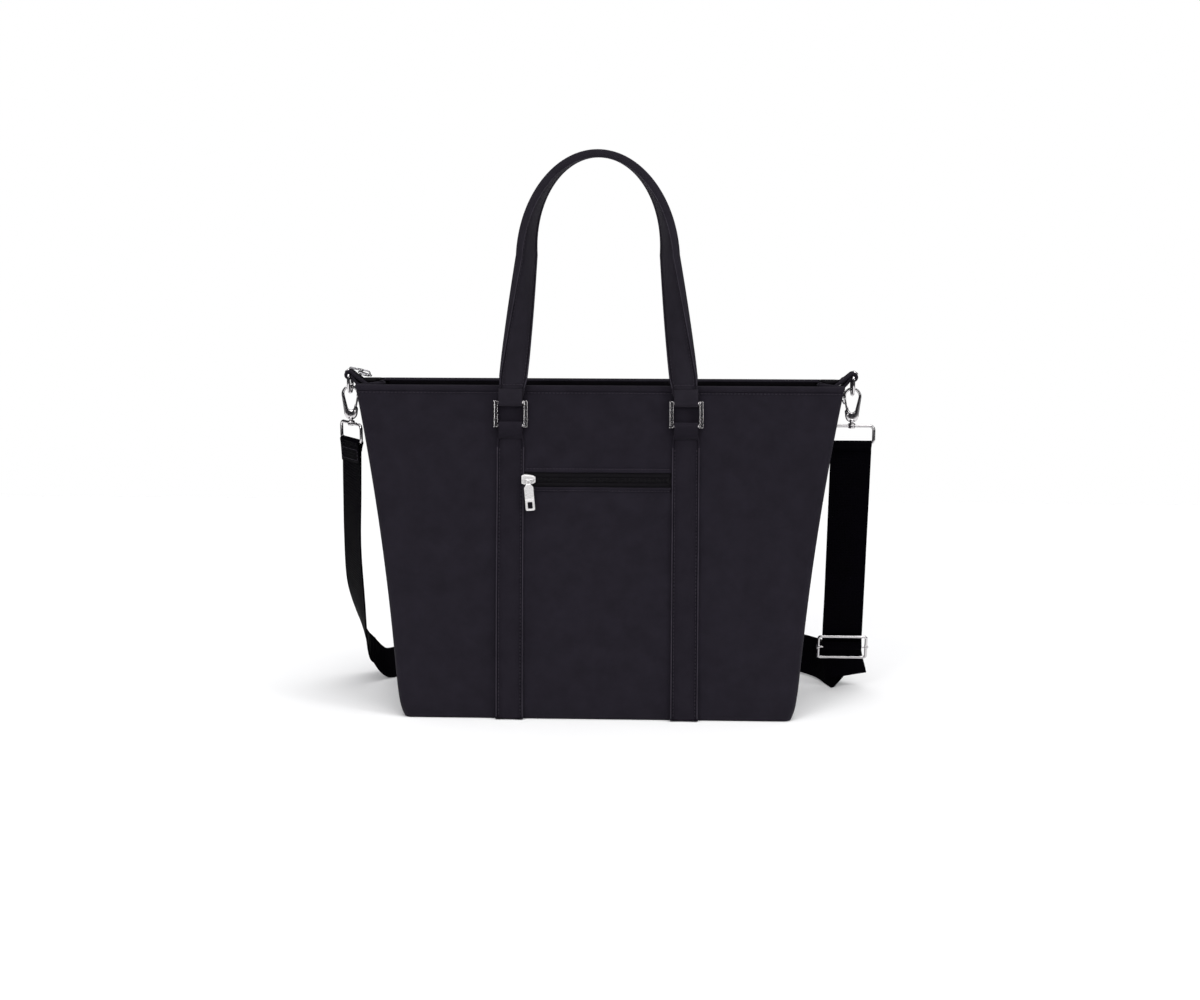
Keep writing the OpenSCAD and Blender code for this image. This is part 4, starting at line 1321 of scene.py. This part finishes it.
def tail_web():
    """Front layer down to the adjuster."""
    tail = Builder()
    front = RUN_N * LAYER
    pts = [(RUN_TOP + RUN_DIR * d + front, (1, 0, 0)) for d in (7, SLIDER_AT * 0.5, SLIDER_AT - 3.0)]
    length, _ = web_ribbon(tail, pts, per=12)
    obj = tail.piece("strap_second_layer", "shoulder_strap", WEBBING, "webbing", ("strap_tail",))
    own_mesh(obj)


def make_strap():
    left_web()
    floor_web()
    right_web()
    tail_web()


SLIDER_W, SLIDER_H, SLIDER_BAR = 49.0, 25.0, 1.4
SLIDER_OUT = 2 * LAYER + SLIDER_BAR + WEB_T + 0.2 - 0.4


def make_adjuster():
    centre = RUN_TOP + RUN_DIR * SLIDER_AT + RUN_N * SLIDER_OUT

    def place(p):
        return centre + np.array([p[0], 0, 0]) + RUN_N * -p[1] - RUN_DIR * p[2]
    path = rounded_rect(SLIDER_W - 2 * SLIDER_BAR, SLIDER_H - 2 * SLIDER_BAR, 2.2, arc=6)
    extra = []
    for k in range(len(path)):
        a, q = path[k], path[(k + 1) % len(path)]
        steps = max(1, int(np.linalg.norm(q - a) / 3))
        extra += [a + (q - a) * m / steps for m in range(steps)]
    b = Builder()
    wire(b, [place(np.array([p[0], 0, p[1]])) for p in extra], SLIDER_BAR, sides=16, closed=True)
    for s in (-1, 1):
        lathe(b, [(1.0, -1.6), (1.9, -1.5), (2.1, -0.8), (2.1, 0.8), (1.9, 1.5), (1.0, 1.6)],
              lambda p, s=s: place(np.array([s * (SLIDER_W / 2 - SLIDER_BAR) + p[2], p[0], p[1]])),
              sides=16)
    b.piece("adjuster_frame_metal", "strap_adjuster", NICKEL, "nickel", ("strap_slider_frame",))
    b = Builder()
    line = [place(np.array([x, 0, 0])) for x in np.linspace(-SLIDER_W / 2 - 0.9, SLIDER_W / 2 + 0.9, 14)]
    wire(b, line, [0.6, 0.95] + [0.95] * 10 + [0.95, 0.6], sides=12)
    b.piece("adjuster_bar_metal", "strap_adjuster", NICKEL, "nickel", ("strap_slider_bar",))
    loop = Builder()
    across = np.array([1.0, 0, 0])
    up = -RUN_DIR
    r = 0.95 + WEB_T / 2 + 0.1
    path = [centre - RUN_N * (SLIDER_OUT - LAYER) + up * 9.5,
            centre - RUN_N * (SLIDER_OUT - LAYER - 0.9) + up * 5.0]
    for a in np.radians(np.linspace(200, 375, 15)):
        path.append(centre + RUN_N * r * math.cos(a) + up * r * math.sin(a))
    path += [centre + RUN_N * (r - 0.3) + up * 3.0, centre + RUN_N * (r - 1.6) + up * 6.0]
    fr = ribbon_frames(path, [across] * len(path))
    ribbon(loop, fr, [webbing_section(WEB_W - 0.6, 1.3)] * len(fr))
    obj = loop.piece("strap_end_turn", "strap_adjuster", WEBBING, "webbing", ("strap_end_loop",))


make_strap()
make_adjuster()


# =====================================================================
# Pockets inside
# =====================================================================
def make_inner_pocket(name, node, frame_of, width, low, high, gathers):
    """Flat pouch with a gathered, hemmed top; frame_of(x, out, z) places it on the lining."""
    rows, cols = 26, 70
    verts, uvs = [], []
    for j in range(rows):
        v = j / (rows - 1)
        z = low + (high - low) * v
        for i in range(cols):
            u = i / (cols - 1)
            x = (u - 0.5) * width
            edge = min(1.0, min(u, 1 - u) * 12)
            puff = (0.6 + 1.2 * math.sin(math.pi * min(v * 1.1, 1))) * edge
            wave = gathers * v ** 2 * math.sin(u * width / 5.2) * edge * 0.6
            verts.append(frame_of(x, 0.5 + puff + wave, z))
            uvs.append((x, z))
    obj = piece(name, verts, grid_faces(rows, cols), "bag", LINING, (node,), uvs)
    solid = obj.modifiers.new("thickness", "SOLIDIFY")
    solid.thickness = 0.6 * MM
    hem = Builder()
    line = [frame_of((u - 0.5) * width,
                     1.7 + gathers * math.sin(u * width / 5.2) * 0.6 * min(1, min(u, 1 - u) * 12),
                     high) for u in np.linspace(0.01, 0.99, 90)]
    wire(hem, line, 1.0, sides=8)
    hem.piece(name + "_hem", "bag", BAND, "band_cloth")


def rear_inside(x, out, z):
    return to_rear(on_front(x, 6.9 + out, z))


def side_inside(s):
    slope = (210.9 - 184.0) / WALL_H

    def place(y, out, z):
        return np.array([s * (184.0 + slope * z - 8.0 - out), y, z])
    return place


make_inner_pocket("slip_pocket", "inner_slip_pocket", rear_inside, 206.0, 72.0, 203.0, 0.2)
make_inner_pocket("bottle_pocket_left", "inner_bottle_pocket_left", side_inside(-1), 76.0, 32.0, 162.0, 1.0)
make_inner_pocket("bottle_pocket_right", "inner_bottle_pocket_right", side_inside(1), 76.0, 32.0, 162.0,
                  1.0)


def finish_cad_nodes():
    """Nodes that keep their CAD shape: the board and the pocket bag inside the wall."""
    for name, material in (("base_board", BOARD), ("pocket_bag", LINING)):
        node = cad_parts[name]
        node.data.materials.clear()
        node.data.materials.append(material)


finish_cad_nodes()


# =====================================================================
# Floor, light and close
# =====================================================================
def make_stage():
    mat, nodes, links, shader = new_material("floor_paper")
    coords = add(nodes, "ShaderNodeTexCoord")
    colour_variation(nodes, links, shader, coords.outputs["Object"], (0.90, 0.90, 0.90),
                     (0.93, 0.93, 0.93), 3.0)
    shader.inputs["Roughness"].default_value = 0.9
    size = 1.1
    mesh = bpy.data.meshes.new("floor")
    mesh.from_pydata([(-size, -size, 0), (size, -size, 0), (size, size, 0), (-size, size, 0)], [],
                     [(0, 1, 2, 3)])
    mesh.materials.append(mat)
    floor = bpy.data.objects.new("floor", mesh)
    bpy.context.scene.collection.objects.link(floor)


def make_world():
    """White paper for the camera, even light on cloth and a dim room with a bright ceiling in the metal."""
    world = bpy.data.worlds.new("studio")
    bpy.context.scene.world = world
    world.use_nodes = True
    nodes, links = world.node_tree.nodes, world.node_tree.links
    coords = add(nodes, "ShaderNodeTexCoord")
    split = add(nodes, "ShaderNodeSeparateXYZ")
    ramp = nodes.new("ShaderNodeValToRGB")
    stops = ramp.color_ramp.elements
    stops[0].position, stops[0].color = 0.05, (0.03, 0.03, 0.034, 1)
    stops[1].position, stops[1].color = 0.80, (1, 1, 1, 1)
    middle = stops.new(0.50)
    middle.color = (0.08, 0.08, 0.09, 1)
    links.new(coords.outputs["Generated"], split.inputs["Vector"])
    links.new(split.outputs["Z"], ramp.inputs["Fac"])
    ceiling = nodes["Background"]
    ceiling.inputs["Strength"].default_value = 0.8
    links.new(ramp.outputs["Color"], ceiling.inputs["Color"])
    even = add(nodes, "ShaderNodeBackground", Color=(0.98, 0.98, 1, 1), Strength=0.60)
    paper = add(nodes, "ShaderNodeBackground", Color=(1, 1, 1, 1), Strength=1.0)
    seen = add(nodes, "ShaderNodeLightPath")
    for_metal, for_camera = add(nodes, "ShaderNodeMixShader"), add(nodes, "ShaderNodeMixShader")
    links.new(seen.outputs["Is Glossy Ray"], for_metal.inputs["Fac"])
    links.new(even.outputs["Background"], for_metal.inputs[1])
    links.new(ceiling.outputs["Background"], for_metal.inputs[2])
    links.new(seen.outputs["Is Camera Ray"], for_camera.inputs["Fac"])
    links.new(for_metal.outputs["Shader"], for_camera.inputs[1])
    links.new(paper.outputs["Background"], for_camera.inputs[2])
    links.new(for_camera.outputs["Shader"], nodes["World Output"].inputs["Surface"])


def area_light(name, place, aim, size, watts):
    data = bpy.data.lights.new(name, "AREA")
    data.shape = "RECTANGLE"
    data.size, data.size_y = size
    data.energy = watts
    light = bpy.data.objects.new(name, data)
    bpy.context.scene.collection.objects.link(light)
    light.location = place
    light.rotation_euler = (Vector(aim) - Vector(place)).to_track_quat("-Z", "Y").to_euler()


def sun_light(name, direction, strength, spread):
    data = bpy.data.lights.new(name, "SUN")
    data.energy = strength
    data.angle = math.radians(spread)
    light = bpy.data.objects.new(name, data)
    bpy.context.scene.collection.objects.link(light)
    light.rotation_euler = Vector(direction).to_track_quat("-Z", "Y").to_euler()


make_stage()
make_world()
sun_light("overhead", (-0.16, 0.22, -1), 1.6, 42)
area_light("key", (-1.0, -1.7, 1.5), (0, 0, 0.2), (0.9, 0.7), 14)
area_light("side", (1.5, -0.9, 0.9), (0, 0, 0.2), (0.3, 1.2), 6)
bpy.context.scene.view_settings.view_transform = "Standard"
